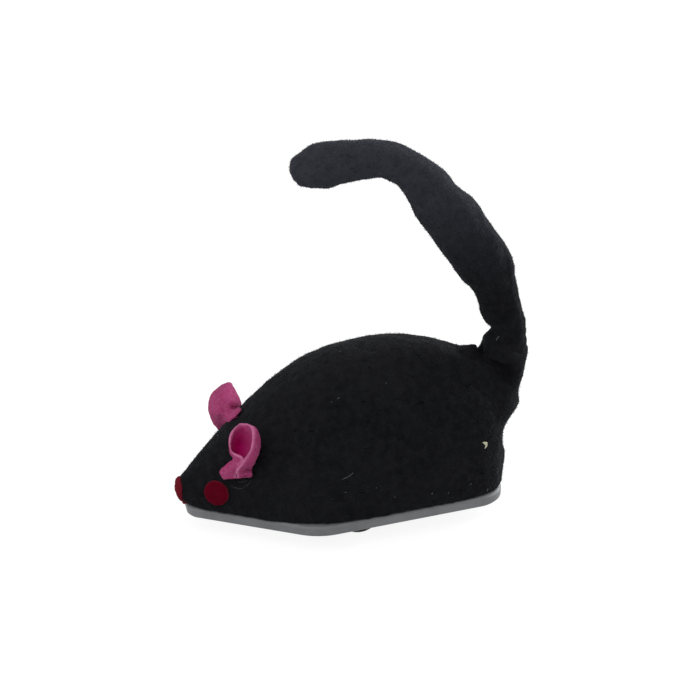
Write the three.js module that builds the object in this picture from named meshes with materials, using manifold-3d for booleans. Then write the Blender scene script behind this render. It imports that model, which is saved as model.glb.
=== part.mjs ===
// A pull-back mouse: a terry mouse on a plastic plate, driven by a wound spring motor.
// Millimetres. The nose points along -X, the mouse's left side along -Y, the floor is z = 0.
import * as THREE from "three";
import { mergeVertices } from "three/addons/utils/BufferGeometryUtils.js";
import Module from "manifold-3d";

const wasm = await Module();
wasm.setup();

// Gaps that every fit uses.
const gap = 0.3; // between two neighbouring pieces
const shaftGap = 0.2; // round a shaft or a screw in its hole
const overrun = 1; // how far a cutter passes the face that it cuts
const roundSides = 14; // facets of a small round bar

// Base plate: a flat shield, widest behind the nose.
const plateLength = 78.7;
const plateThickness = 2.65;
const plateRideHeight = 4; // underside above the floor
const plateNoseHalfWidth = 4.4;
const plateHalfWidth = 21.9;
const plateTailHalfWidth = 15.2;
const plateNoseToWidest = 29.2;
const plateNoseRadius = 4;
const plateSideRadius = 14;
const plateTailRadius = 8;
const plateEdgeRound = 0.5;

// Body: a terry cover over a thin plastic dome.
const bodySideSetback = 1.5; // inside the plate's widest edge
const bodyHeight = 38.3;
const bodyNoseOverhang = 1.4; // in front of the plate
const bodyTailOverhang = 2.7; // behind it
const bodySquareness = 2.3; // exponent of the cross-section
const coverThickness = 1.2;
const domeWall = 1.2;

// Tail: a stuffed terry tube on a ball-shaped root.
const tailRise = 49;
const tailReach = 53.8;
const tailRadius = 6.95;
const tailRootRadius = 5.4;
const tailRootAlongShare = 1.001; // of the body's length, from its nose
const tailRootUpShare = 0.936; // of the body's height, above the plate
const tailCoverThickness = 1;
const tailMouthDrop = 2.85; // the rump's mouth below the tail's turning point

// Felt: ears, eyes and nose.
const feltThickness = 1;
const earHeight = 14;
const earWidth = 19; // flat width of the felt, before it is rolled
const earRootRadius = 2.6; // of the roll at the head
const earRimRadius = 4.7; // and at the rim
const earTipBack = 1; // from above the root
const earTipOut = 4.5;
const earTurnOut = THREE.MathUtils.degToRad(14); // of its opening, from the nose to the side
const earRootDepth = 1.5; // below the skin, before the head is cut out of it
const earPlaceShare = 0.2875; // along the body's stations, from the nose
const earAngle = THREE.MathUtils.degToRad(35); // round the body, from the plate up
const eyePlaceShare = 0.2288;
const eyeAngle = THREE.MathUtils.degToRad(24);
const eyeDish = 0.5;
const eyeDiameter = 6.3;
const noseHeight = 9.4;
const noseWidth = 6.8;
const noseRise = 9; // its middle above the floor
const noseWrap = 0.4; // how far it reaches back past the snout's front
const noseBulge = 2.2;

// Wheels and their shafts.
const wheelRadius = 5.5;
const wheelWidth = 4;
const wheelTrackShare = 0.676; // wheels' outer faces, of the plate's half width
const wheelPlaceShare = 0.521; // drive axle along the plate, from its nose
const tyreThickness = 1.3;
const hubBossRadius = 1.9;
const hubWeb = 1;
const driveShaftRadius = 0.75;
const rollerRadius = 3.2;
const rollerWidth = 4.6;
const rollerFromTail = 6.2;
const rollerPinRadius = 0.75;
const forkWall = 1.8;
const forkCover = 1; // material below the pin
const skidRadius = 3.4;
const skidFromNose = 17;
const skidFloorGap = 0.5;

// Gears: one module throughout.
const toothModule = 0.4;
const pressureAngle = THREE.MathUtils.degToRad(20);
const backlash = 0.1;
const addendumShare = 0.8; // of the module
const dedendumShare = 1.15;
const springGearTeeth = 36;
const clusterWheelTeeth = 28;
const clusterPinionTeeth = 9;
const axlePinionTeeth = 10;
const idlerTeeth = 10;
const gearWidth = 1.6;
const springGearRise = 7; // its centre above the drive axle
const springGearBehind = 10.5; // and behind it
const idlerSwing = THREE.MathUtils.degToRad(10); // along its slot, out of the axle pinion
const pivotRadius = 0.75;
const arborRadius = 2;

// Mainspring: a flat strip, wound on the arbor.
const stripThickness = 0.25;
const stripWidth = 4;
const stripTurns = 5;
const stripStepsPerTurn = 24;
const stripPostRadius = 0.6;
const stripPostAngle = THREE.MathUtils.degToRad(20); // round the arbor, from the rear up

// Motor case: a deep case and a flat cover, with two lugs on the plate's bosses.
const caseWall = 0.9;
const caseInnerHalfWidth = 6.1;
const caseLip = 1;
const lugLength = 5.6;
const lugWidth = 7;
const lugThickness = 1.5;
const lugHeight = 2; // above the plate's top
const bossRadius = 2.1;

// Screws.
const caseScrewRadius = 0.6;
const caseScrewLength = 6;
const caseScrewHeadRadius = 1.25;
const caseScrewHead = 0.6;
const screwPostRadius = 1.6;
const casePostFront = THREE.MathUtils.degToRad(130); // round the drive cluster, from the rear up
const casePostRear = THREE.MathUtils.degToRad(40); // round the spring gear
const casePostLow = THREE.MathUtils.degToRad(205); // round the drive axle
const plateScrewRadius = 0.8;
const plateScrewLength = 4.6;
const plateScrewHeadRadius = 1.8;
const plateScrewHead = 1.1;
const bodyScrewLength = 8;
const bodyPostRadius = 2.4;
const bodyPostFromNose = 9;
const bodyPostFromTail = 6.5;
const bodyPostFromMiddle = 9.5;

// Levels and places that follow from the sizes above.
const plateTop = plateRideHeight + plateThickness;
const plateNoseX = -plateLength / 2;
const plateTailX = plateLength / 2;
const bodyNoseX = plateNoseX - bodyNoseOverhang;
const bodyLength = bodyNoseOverhang + plateLength + bodyTailOverhang;
const bodyHalfWidth = plateHalfWidth - bodySideSetback;
const noseFront = bodyNoseX - gap - feltThickness;
const hem = plateTop + gap;
const driveX = plateNoseX + wheelPlaceShare * plateLength;
const driveZ = wheelRadius;
const rollerX = plateTailX - rollerFromTail;
const rollerZ = rollerRadius;
const wheelOuterFace = wheelTrackShare * plateHalfWidth;
const wheelInnerFace = wheelOuterFace - wheelWidth;
const tailX = bodyNoseX + tailRootAlongShare * bodyLength;
const tailRootHeight = plateTop + tailRootUpShare * bodyHeight;

// Materials.
const terry = { color: 0x16181a, roughness: 0.95, metalness: 0 };
const stuffing = { color: 0xd9d6cd, roughness: 1, metalness: 0 };
const whitePlastic = { color: 0xc9cccc, roughness: 0.45, metalness: 0 };
const greyPlastic = { color: 0x77797b, roughness: 0.5, metalness: 0 };
const nylon = { color: 0xe6e2d6, roughness: 0.4, metalness: 0 };
const pinkFelt = { color: 0xc65a9c, roughness: 1, metalness: 0 };
const redFelt = { color: 0x96101c, roughness: 1, metalness: 0 };
const rubber = { color: 0x1b1b1b, roughness: 0.85, metalness: 0 };
const steel = { color: 0xb4b6b8, roughness: 0.3, metalness: 1 };

// Helpers: closed meshes as solids, and back.
function solidOf(geometry) {
  const plain = geometry.clone();
  plain.deleteAttribute("normal");
  plain.deleteAttribute("uv");
  const merged = mergeVertices(plain);
  const triVerts = new Uint32Array(merged.index.array);
  const vertProperties = new Float32Array(merged.attributes.position.array);
  return new wasm.Manifold(new wasm.Mesh({ numProp: 3, vertProperties, triVerts }));
}

function geometryOf(solid) {
  const mesh = solid.getMesh();
  const geometry = new THREE.BufferGeometry();
  const positions = new THREE.BufferAttribute(new Float32Array(mesh.vertProperties), 3);
  geometry.setAttribute("position", positions);
  geometry.setIndex(new THREE.BufferAttribute(new Uint32Array(mesh.triVerts), 1));
  return geometry;
}

const join = (first, ...rest) => rest.reduce((all, one) => all.add(one), first);
const cut = (first, ...rest) => rest.reduce((all, one) => all.subtract(one), first);

function block([x0, x1], [y0, y1], [z0, z1]) {
  const geometry = new THREE.BoxGeometry(x1 - x0, y1 - y0, z1 - z0);
  geometry.translate((x0 + x1) / 2, (y0 + y1) / 2, (z0 + z1) / 2);
  return solidOf(geometry);
}

// A round bar along Y, as shafts, pins and screw posts are.
function crossBar(x, z, radius, [y0, y1]) {
  const geometry = new THREE.CylinderGeometry(radius, radius, y1 - y0, roundSides);
  geometry.translate(x, (y0 + y1) / 2, z);
  return solidOf(geometry);
}

function upright(x, y, radius, [z0, z1]) {
  const geometry = new THREE.CylinderGeometry(radius, radius, z1 - z0, roundSides);
  geometry.rotateX(Math.PI / 2);
  geometry.translate(x, y, (z0 + z1) / 2);
  return solidOf(geometry);
}

// An outline in X and Z, as a solid between two Y levels.
function acrossPlate(shape, [y0, y1]) {
  const geometry = new THREE.ExtrudeGeometry(shape, { depth: y1 - y0, bevelEnabled: false });
  geometry.rotateX(Math.PI / 2);
  geometry.translate(0, y1, 0);
  return solidOf(geometry);
}

// Rings of equal count joined into one closed skin. An end is closed by a fan, or by a strip
// between its two halves where the ring is the edge of a bent sheet.
function loft(rings, ends = "fan") {
  const count = rings[0].length;
  const middles = [rings[0], rings[rings.length - 1]].map((ring) =>
    ring.reduce((sum, p) => sum.add(p), new THREE.Vector3()).divideScalar(count),
  );
  const points = [...rings.flat(), ...(ends === "fan" ? middles : [])];
  const index = [];
  for (let i = 0; i + 1 < rings.length; i++) {
    for (let j = 0; j < count; j++) {
      const a = i * count + j;
      const b = i * count + ((j + 1) % count);
      index.push(a, b, b + count, a, b + count, a + count);
    }
  }
  const middle = rings.length * count;
  const last = middle - count;
  for (let j = 0; ends === "fan" && j < count; j++) {
    const next = (j + 1) % count;
    index.push(middle, next, j, middle + 1, last + j, last + next);
  }
  for (let j = 0; ends === "strip" && j < count / 2 - 1; j++) {
    const [a, b, c, d] = [j, j + 1, count - 2 - j, count - 1 - j];
    index.push(b, a, d, b, d, c);
    index.push(last + a, last + b, last + d, last + b, last + c, last + d);
  }
  const geometry = new THREE.BufferGeometry();
  geometry.setFromPoints(points);
  geometry.setIndex(index);
  const solid = solidOf(geometry);
  if (solid.volume() > 0) return solid;
  for (let i = 0; i < index.length; i += 3) index.splice(i, 3, index[i + 1], index[i], index[i + 2]);
  geometry.setIndex(index);
  return solidOf(geometry);
}

// A smooth value through a table's column at a place along it.
function smooth(table, column, place) {
  const i = Math.min(Math.max(Math.floor(place), 0), table.length - 2);
  const t = place - i;
  const at = (k) => table[Math.min(Math.max(k, 0), table.length - 1)][column];
  const [p0, p1, p2, p3] = [at(i - 1), at(i), at(i + 1), at(i + 2)];
  const bend = (2 * p0 - 5 * p1 + 4 * p2 - p3) * t * t;
  const twist = (3 * p1 - p0 - 3 * p2 + p3) * t * t * t;
  return (2 * p1 + (p2 - p0) * t + bend + twist) / 2;
}

// The body's stations from nose to rump, as shares of its length, half width and height:
// place along, half width, lower edge, top.
const bodyShares = [
  [0, 0.1, 0.07, 0.115],
  [0.005, 0.16, 0.03, 0.165],
  [0.023, 0.235, 0.01, 0.203],
  [0.053, 0.315, 0, 0.272],
  [0.119, 0.485, 0, 0.42],
  [0.191, 0.65, 0, 0.577],
  [0.269, 0.824, 0, 0.728],
  [0.347, 0.946, 0, 0.846],
  [0.443, 1, 0, 0.942],
  [0.551, 0.971, 0, 0.994],
  [0.671, 0.912, 0, 1],
  [0.779, 0.843, 0, 0.95],
  [0.863, 0.784, 0, 0.878],
  [0.923, 0.68, 0, 0.81],
  [0.962, 0.52, 0.035, 0.715],
  [0.985, 0.33, 0.115, 0.58],
  [1, 0.15, 0.19, 0.38],
];
const bodyStations = bodyShares.map(([along, half, low, top]) => [
  bodyNoseX + along * bodyLength,
  half * bodyHalfWidth,
  plateTop + low * bodyHeight,
  plateTop + top * bodyHeight,
]);

const lastStation = bodyStations.length - 1;
const slopeShare = 0.003; // how far along the stations a slope is taken

// The point of the body's skin at a share of its stations and an angle up from the left flank,
// moved in by an inset square to the skin's plan and to its profile.
function skinPoint(share, angle, inset) {
  const at = (where, column) =>
    smooth(bodyStations, column, Math.min(Math.max(where, 0), 1) * lastStation);
  const slope = [0, 1, 3].map((c) => at(share + slopeShare, c) - at(share - slopeShare, c));
  const [x, half, low, top] = [0, 1, 2, 3].map((c) => at(share, c));
  const planLength = Math.hypot(slope[0], slope[1]);
  const profileLength = Math.hypot(slope[0], slope[2]);
  const [c, s] = [Math.cos(angle), Math.sin(angle)];
  const insetX = inset * ((slope[1] / planLength) * c * c + (slope[2] / profileLength) * s * s);
  const side = Math.sign(c) * Math.abs(c) ** (2 / bodySquareness);
  return new THREE.Vector3(
    x + insetX,
    -(half - (inset * slope[0]) / planLength) * side,
    low + (top - low - (inset * slope[0]) / profileLength) * s,
  );
}

const skinRings = 32;
const skinSides = 16;
const liningRings = 20;
const liningSides = 12;
const endClearShare = 1.3; // a ring nearer the body's end than this share of the inset is left out

// The body's space moved in by an inset, down to a bottom level where its sides run upright.
function bodySolid(inset, bottom, [ringCount, sides] = [liningRings, liningSides]) {
  const rings = [];
  for (let i = 0; i <= ringCount; i++) {
    const share = i / ringCount;
    const x = smooth(bodyStations, 0, share * lastStation);
    const nearEnd = Math.min(x - bodyNoseX, bodyNoseX + bodyLength - x);
    if (nearEnd < inset * endClearShare) continue;
    const ring = [];
    for (let j = 0; j <= sides; j++) ring.push(skinPoint(share, (Math.PI * j) / sides, inset));
    if (inset > 0) ring[0].z = ring[sides].z = bottom;
    rings.push(ring);
  }
  return loft(rings);
}

const limbSides = 12;

// A stuffed tube through stations of x, z and radius, in the middle plane.
function limb(stations, inset, stepsPerStation) {
  const steps = (stations.length - 1) * stepsPerStation;
  const at = (i) => {
    const place = i / stepsPerStation;
    return [0, 1, 2].map((column) => smooth(stations, column, place));
  };
  const rings = [];
  for (let i = 0; i <= steps; i++) {
    const [x, z, radius] = at(i);
    const [before, after] = [at(Math.max(i - 1, 0)), at(Math.min(i + 1, steps))];
    const along = Math.atan2(after[1] - before[1], after[0] - before[0]);
    const r = radius - inset;
    if (r <= 0) continue;
    rings.push(
      Array.from({ length: limbSides }, (_, j) => {
        const turn = (2 * Math.PI * j) / limbSides;
        const out = r * Math.cos(turn);
        const [dx, dz] = [-Math.sin(along) * out, Math.cos(along) * out];
        return new THREE.Vector3(x + dx, r * Math.sin(turn), z + dz);
      }),
    );
  }
  return loft(rings);
}

function ball(x, z, radius) {
  const geometry = new THREE.SphereGeometry(radius, 16, 10);
  geometry.rotateX(Math.PI / 2);
  geometry.translate(x, 0, z);
  return solidOf(geometry);
}

// Base plate: its outline, the well for the wheels and motor, bosses, roller forks and skid.
function plateOutline() {
  const corners = [
    [plateNoseX, -plateNoseHalfWidth, plateNoseRadius],
    [plateNoseX + plateNoseToWidest, -plateHalfWidth, plateSideRadius],
    [plateTailX, -plateTailHalfWidth, plateTailRadius],
    [plateTailX, plateTailHalfWidth, plateTailRadius],
    [plateNoseX + plateNoseToWidest, plateHalfWidth, plateSideRadius],
    [plateNoseX, plateNoseHalfWidth, plateNoseRadius],
  ];
  const shape = new THREE.Shape();
  corners.forEach(([x, y, radius], i) => {
    const here = new THREE.Vector2(x, y);
    const [before, after] = [corners.at(i - 1), corners[(i + 1) % corners.length]].map(
      ([bx, by]) => new THREE.Vector2(bx, by).sub(here).normalize(),
    );
    const half = Math.acos(before.dot(after)) / 2;
    const start = here.clone().addScaledVector(before, radius / Math.tan(half));
    const middle = before.clone().add(after).normalize();
    const centre = here.clone().addScaledVector(middle, radius / Math.sin(half));
    const end = here.clone().addScaledVector(after, radius / Math.tan(half));
    const [from, to] = [start, end].map((p) => Math.atan2(p.y - centre.y, p.x - centre.x));
    if (i === 0) shape.moveTo(start.x, start.y);
    else shape.lineTo(start.x, start.y);
    shape.absarc(centre.x, centre.y, radius, from, to, false);
  });
  return shape;
}

const wellFront = driveX - wheelRadius - 2 * gap;
const wellRear = driveX + wheelRadius + 2 * gap;
const wellHalfWidth = wheelOuterFace + 2 * gap;
const lugTop = plateTop + lugHeight + lugThickness;

function basePlate() {
  const sheet = new THREE.ExtrudeGeometry(plateOutline(), {
    depth: plateThickness - 2 * plateEdgeRound,
    bevelThickness: plateEdgeRound,
    bevelSize: plateEdgeRound,
    bevelOffset: -plateEdgeRound,
    bevelSegments: 1,
    curveSegments: 7,
  });
  sheet.translate(0, 0, plateRideHeight + plateEdgeRound);
  const through = [plateRideHeight - overrun, plateTop + overrun];
  const motorHalf = motorOuterHalfWidth + gap;
  const rollerHalf = rollerWidth / 2 + gap;
  const forkOuter = rollerHalf + forkWall;
  const forkBottom = rollerZ - rollerPinRadius - forkCover;
  const fork = (side) => {
    const span = side < 0 ? [-forkOuter, -rollerHalf] : [rollerHalf, forkOuter];
    const reach = rollerPinRadius + forkCover;
    return block([rollerX - reach, rollerX + reach], span, [forkBottom, plateTop]);
  };
  const skidX = plateNoseX + skidFromNose;
  const skid = ball(skidX, skidFloorGap + skidRadius, skidRadius).subtract(
    block(
      [skidX - 2 * skidRadius, skidX + 2 * skidRadius],
      [-2 * skidRadius, 2 * skidRadius],
      [plateTop - gap, plateTop + 2 * skidRadius],
    ),
  );
  const bosses = motorLugs.map(({ x }) =>
    upright(x, 0, bossRadius, [plateTop - overrun, plateTop + lugHeight - gap]),
  );
  const pilots = motorLugs.map(({ x }) =>
    upright(x, 0, plateScrewRadius + shaftGap, [
      lugTop - plateScrewLength - shaftGap,
      plateTop + lugHeight,
    ]),
  );
  const bodyScrewHoles = bodyPosts.flatMap(({ x, y }) => [
    upright(x, y, plateScrewRadius + shaftGap, through),
    upright(x, y, plateScrewHeadRadius + shaftGap, [
      plateRideHeight - overrun,
      plateRideHeight + plateScrewHead + shaftGap,
    ]),
  ]);
  const roomy = rollerRadius + 2 * gap;
  const open = cut(
    join(solidOf(sheet), skid, ...bosses),
    block(motorWindow, [-motorHalf, motorHalf], through),
    block([wellFront, wellRear], [-wellHalfWidth, wellHalfWidth], through),
    block([rollerX - roomy, rollerX + roomy], [-rollerHalf, rollerHalf], through),
    ...pilots,
    ...bodyScrewHoles,
  );
  return cut(
    join(open, fork(-1), fork(1)),
    crossBar(rollerX, rollerZ, rollerPinRadius + shaftGap, [-forkOuter - overrun, forkOuter + overrun]),
  );
}

// Gear train: the spring gear drives the cluster's pinion, its wheel drives the axle pinion,
// and the idler winds the spring gear from the axle pinion when the mouse is pulled back.
const pitchRadius = (teeth) => (teeth * toothModule) / 2;
const tipRadius = (teeth) => pitchRadius(teeth) + addendumShare * toothModule;
const involute = (angle) => Math.tan(angle) - angle;

// Where two circles about two centres cross, on the side given.
function crossing([ax, az], ra, [bx, bz], rb, side) {
  const distance = Math.hypot(bx - ax, bz - az);
  const along = (ra * ra - rb * rb + distance * distance) / (2 * distance);
  const off = side * Math.sqrt(ra * ra - along * along);
  const [ux, uz] = [(bx - ax) / distance, (bz - az) / distance];
  return [ax + along * ux - off * uz, az + along * uz + off * ux];
}

const axleAt = [driveX, driveZ];
const springAt = [driveX + springGearBehind, driveZ + springGearRise];
const clusterAt = crossing(
  axleAt,
  pitchRadius(axlePinionTeeth + clusterWheelTeeth),
  springAt,
  pitchRadius(clusterPinionTeeth + springGearTeeth),
  1,
);
const idlerReach = pitchRadius(idlerTeeth + springGearTeeth);
const idlerWound = crossing(
  axleAt,
  pitchRadius(idlerTeeth + axlePinionTeeth),
  springAt,
  idlerReach,
  -1,
);
const idlerAngle = Math.atan2(idlerWound[1] - springAt[1], idlerWound[0] - springAt[0]) + idlerSwing;
const idlerAt = [
  springAt[0] + idlerReach * Math.cos(idlerAngle),
  springAt[1] + idlerReach * Math.sin(idlerAngle),
];

// The turn of a gear that puts a gap of it over a tooth of its neighbour.
function meshTurn(neighbourTurn, neighbourTeeth, teeth, direction) {
  const tooth = (2 * Math.PI) / neighbourTeeth;
  const past = (((neighbourTurn - direction) % tooth) + tooth) % tooth;
  return direction + Math.PI + Math.PI / teeth - (past * neighbourTeeth) / teeth;
}

const directionTo = ([ax, az], [bx, bz]) => Math.atan2(bz - az, bx - ax);
const clusterPinionTurn = meshTurn(
  0,
  springGearTeeth,
  clusterPinionTeeth,
  directionTo(springAt, clusterAt),
);
const idlerTurn = meshTurn(0, springGearTeeth, idlerTeeth, directionTo(springAt, idlerAt));
const axlePinionTurn = meshTurn(
  clusterPinionTurn,
  clusterWheelTeeth,
  axlePinionTeeth,
  directionTo(clusterAt, axleAt),
);

// A toothed disc with involute flanks, square to Y.
function toothed([x, z], teeth, turn, span) {
  const pitch = pitchRadius(teeth);
  const base = pitch * Math.cos(pressureAngle);
  const radii = [pitch - dedendumShare * toothModule, pitch, tipRadius(teeth)];
  const halfAtPitch = Math.PI / (2 * teeth) - backlash / (2 * pitch);
  const half = (r) =>
    halfAtPitch + involute(pressureAngle) - involute(Math.acos(Math.min(base / r, 1)));
  const flank = radii.map((r) => [r, half(r)]);
  const shape = new THREE.Shape();
  for (let k = 0; k < teeth; k++) {
    const middle = turn + (2 * Math.PI * k) / teeth;
    const tooth = [
      ...flank.map(([r, a]) => [r, middle - a]),
      ...flank.toReversed().map(([r, a]) => [r, middle + a]),
    ];
    tooth.forEach(([r, a], i) => {
      const point = [x + r * Math.cos(a), z + r * Math.sin(a)];
      if (k === 0 && i === 0) shape.moveTo(...point);
      else shape.lineTo(...point);
    });
  }
  return acrossPlate(shape, span);
}

// Where each gear lies across the case.
const springSpan = [gap - caseInnerHalfWidth, gap - caseInnerHalfWidth + stripWidth];
const springGearSpan = [springSpan[1] + gap, springSpan[1] + gap + gearWidth];
const clusterPinionSpan = [springGearSpan[0] - gap, springGearSpan[1] + 2 * gap];
const clusterWheelSpan = [clusterPinionSpan[1], clusterPinionSpan[1] + gearWidth];
const axlePinionSpan = [springGearSpan[0] - gap, clusterWheelSpan[1] + gap];
const pivotEnd = caseInnerHalfWidth + caseWall - gap / 2;
const pivotSpan = [-pivotEnd, pivotEnd];

function springGear() {
  const [x, z] = springAt;
  return join(
    toothed(springAt, springGearTeeth, 0, springGearSpan),
    crossBar(x, z, arborRadius, [-caseInnerHalfWidth + gap, springGearSpan[0] + gap]),
    crossBar(x, z, arborRadius, [springGearSpan[1] - gap, clusterWheelSpan[1]]),
    crossBar(x, z, pivotRadius, pivotSpan),
  );
}

function driveCluster() {
  const [x, z] = clusterAt;
  return join(
    toothed(clusterAt, clusterPinionTeeth, clusterPinionTurn, clusterPinionSpan),
    toothed(clusterAt, clusterWheelTeeth, clusterPinionTurn, [
      clusterWheelSpan[0] - gap,
      clusterWheelSpan[1],
    ]),
    crossBar(x, z, pivotRadius, pivotSpan),
  );
}

function windingIdler() {
  const [x, z] = idlerAt;
  return join(
    toothed(idlerAt, idlerTeeth, idlerTurn, springGearSpan),
    crossBar(x, z, pivotRadius, pivotSpan),
  );
}

function axlePinion() {
  return cut(
    toothed(axleAt, axlePinionTeeth, axlePinionTurn, axlePinionSpan),
    crossBar(driveX, driveZ, driveShaftRadius + shaftGap, [
      axlePinionSpan[0] - overrun,
      axlePinionSpan[1] + overrun,
    ]),
  );
}

// The strip winds out from the arbor to the post in the case.
const stripOuterRadius = tipRadius(springGearTeeth) - 2 * stripPostRadius;
const postAt = [
  springAt[0] + stripOuterRadius * Math.cos(stripPostAngle),
  springAt[1] + stripOuterRadius * Math.sin(stripPostAngle),
];

function mainspring() {
  const [x, z] = springAt;
  const inner = arborRadius + gap + stripThickness / 2;
  const steps = stripTurns * stripStepsPerTurn;
  const stopShort = (stripPostRadius + gap) / stripOuterRadius;
  const rings = [];
  for (let i = 0; i <= steps; i++) {
    const radius = inner + ((stripOuterRadius - inner) * i) / steps;
    const angle = stripPostAngle - stopShort - (2 * Math.PI * (steps - i)) / stripStepsPerTurn;
    const corner = (out, y) => {
      const r = radius + out;
      return new THREE.Vector3(x + r * Math.cos(angle), y, z + r * Math.sin(angle));
    };
    const half = stripThickness / 2;
    const [y0, y1] = springSpan;
    rings.push([corner(-half, y0), corner(half, y0), corner(half, y1), corner(-half, y1)]);
  }
  return loft(rings);
}

// Motor case: the belt line round its gears, grown by a margin.
const caseCircles = [
  [springAt, tipRadius(springGearTeeth)],
  [clusterAt, tipRadius(clusterWheelTeeth)],
  [axleAt, tipRadius(axlePinionTeeth)],
  [idlerAt, tipRadius(idlerTeeth)],
];
const motorOuterHalfWidth = caseInnerHalfWidth + caseWall + gap;

function caseOutline(margin) {
  const samples = 20;
  const points = caseCircles.flatMap(([[x, z], radius]) =>
    Array.from({ length: samples }, (_, i) => {
      const turn = (2 * Math.PI * i) / samples;
      return [x + (radius + margin) * Math.cos(turn), z + (radius + margin) * Math.sin(turn)];
    }),
  );
  points.sort((a, b) => a[0] - b[0] || a[1] - b[1]);
  const chain = (list) => {
    const hull = [];
    for (const p of list) {
      const turnsLeft = ([ax, az], [bx, bz]) =>
        (bx - ax) * (p[1] - az) - (bz - az) * (p[0] - ax) > 0;
      while (hull.length > 1 && !turnsLeft(hull.at(-2), hull.at(-1))) hull.pop();
      hull.push(p);
    }
    return hull.slice(0, -1);
  };
  const outline = [...chain(points), ...chain(points.toReversed())];
  return new THREE.Shape(outline.map(([x, z]) => new THREE.Vector2(x, z)));
}

const caseMargin = gap + caseWall;
const caseFront = clusterAt[0] - tipRadius(clusterWheelTeeth) - caseMargin;
const caseRear = springAt[0] + tipRadius(springGearTeeth) + caseMargin;
const motorWindow = [wellFront, caseRear];
const motorLugs = [
  { name: "front", x: wellFront - bossRadius - gap, inner: clusterAt[0] },
  { name: "rear", x: caseRear + bossRadius + gap, inner: springAt[0] },
];
const bodyPosts = [
  { name: "front", x: plateNoseX + bodyPostFromNose, y: 0 },
  { name: "left", x: plateTailX - bodyPostFromTail, y: -bodyPostFromMiddle },
  { name: "right", x: plateTailX - bodyPostFromTail, y: bodyPostFromMiddle },
];

// The case screws sit in posts on the case's corners.
const cornerOff = ([[x, z], radius], angle) => {
  const reach = radius + caseMargin + screwPostRadius - caseWall / 2;
  return { x: x + reach * Math.cos(angle), z: z + reach * Math.sin(angle) };
};
const caseScrews = [
  { name: "front", ...cornerOff(caseCircles[1], casePostFront) },
  { name: "rear", ...cornerOff(caseCircles[0], casePostRear) },
  { name: "low", ...cornerOff(caseCircles[2], casePostLow) },
];

const caseFloor = -caseInnerHalfWidth - caseWall;
const casePartingFace = caseInnerHalfWidth - gap;
const coverInnerFace = caseInnerHalfWidth;
const coverOuterFace = caseInnerHalfWidth + caseWall;

// Holes for the shafts, and the curved slot that lets the idler swing out of mesh.
function caseBores(span) {
  const round = [axleAt, clusterAt, springAt].map(([x, z]) =>
    crossBar(x, z, pivotRadius + shaftGap, span),
  );
  const slotSteps = 4;
  const slot = Array.from({ length: slotSteps + 1 }, (_, i) => {
    const angle = idlerAngle - (idlerSwing * i) / slotSteps;
    const [x, z] = springAt;
    const [dx, dz] = [idlerReach * Math.cos(angle), idlerReach * Math.sin(angle)];
    return crossBar(x + dx, z + dz, pivotRadius + shaftGap, span);
  });
  return [...round, ...slot];
}

function motorCase() {
  const deep = [caseFloor, casePartingFace];
  const posts = caseScrews.map(({ x, z }) => crossBar(x, z, screwPostRadius, deep));
  const lugs = motorLugs.map(({ x, inner }) =>
    block(
      x < inner ? [x - lugLength / 2, inner] : [inner, x + lugLength / 2],
      [-lugWidth / 2, lugWidth / 2],
      [plateTop + lugHeight, lugTop],
    ),
  );
  const cavity = acrossPlate(caseOutline(gap), [-caseInnerHalfWidth, casePartingFace + overrun]);
  const lugHoles = motorLugs.map(({ x }) =>
    upright(x, 0, plateScrewRadius + shaftGap, [plateTop, lugTop + overrun]),
  );
  const pilots = caseScrews.map(({ x, z }) =>
    crossBar(x, z, caseScrewRadius + shaftGap, [
      coverOuterFace - caseScrewLength - shaftGap,
      casePartingFace + overrun,
    ]),
  );
  const solid = join(acrossPlate(caseOutline(caseMargin), deep), ...posts, ...lugs);
  const hollow = cut(solid, cavity, ...lugHoles, ...pilots);
  const post = crossBar(postAt[0], postAt[1], stripPostRadius, [caseFloor + gap, springSpan[1]]);
  return cut(hollow.add(post), ...caseBores([caseFloor - overrun, gap - caseInnerHalfWidth]));
}

function motorCover() {
  const face = [coverInnerFace, coverOuterFace];
  const lipSpan = [casePartingFace - caseLip, coverInnerFace + caseWall / 2];
  const lip = cut(
    acrossPlate(caseOutline(0), lipSpan),
    acrossPlate(caseOutline(-caseWall), [lipSpan[0] - overrun, coverInnerFace]),
  );
  const ears = caseScrews.map(({ x, z }) => crossBar(x, z, screwPostRadius, face));
  const holes = caseScrews.map(({ x, z }) =>
    crossBar(x, z, caseScrewRadius + shaftGap, [face[0] - overrun, face[1] + overrun]),
  );
  return cut(
    join(acrossPlate(caseOutline(caseMargin), face), lip, ...ears),
    ...holes,
    ...caseBores([lipSpan[0] - overrun, face[1] + overrun]),
  );
}

// Screws: a round head on a shank, along Z or along Y.
function screw(shankRadius, length, headRadius, head) {
  const outline = [
    [0, -length],
    [shankRadius / 2, -length],
    [shankRadius, shankRadius - length],
    [shankRadius, 0],
    [headRadius, 0],
    [headRadius, head / 2],
    [headRadius / 2, head],
    [0, head],
  ];
  return new THREE.LatheGeometry(
    outline.map(([r, y]) => new THREE.Vector2(r, y)),
    10,
  );
}

// Wheels: a hub with boss, web and rim, and a rubber tyre with rounded shoulders.
const hubRimRadius = wheelRadius - tyreThickness - gap / 2;

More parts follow.
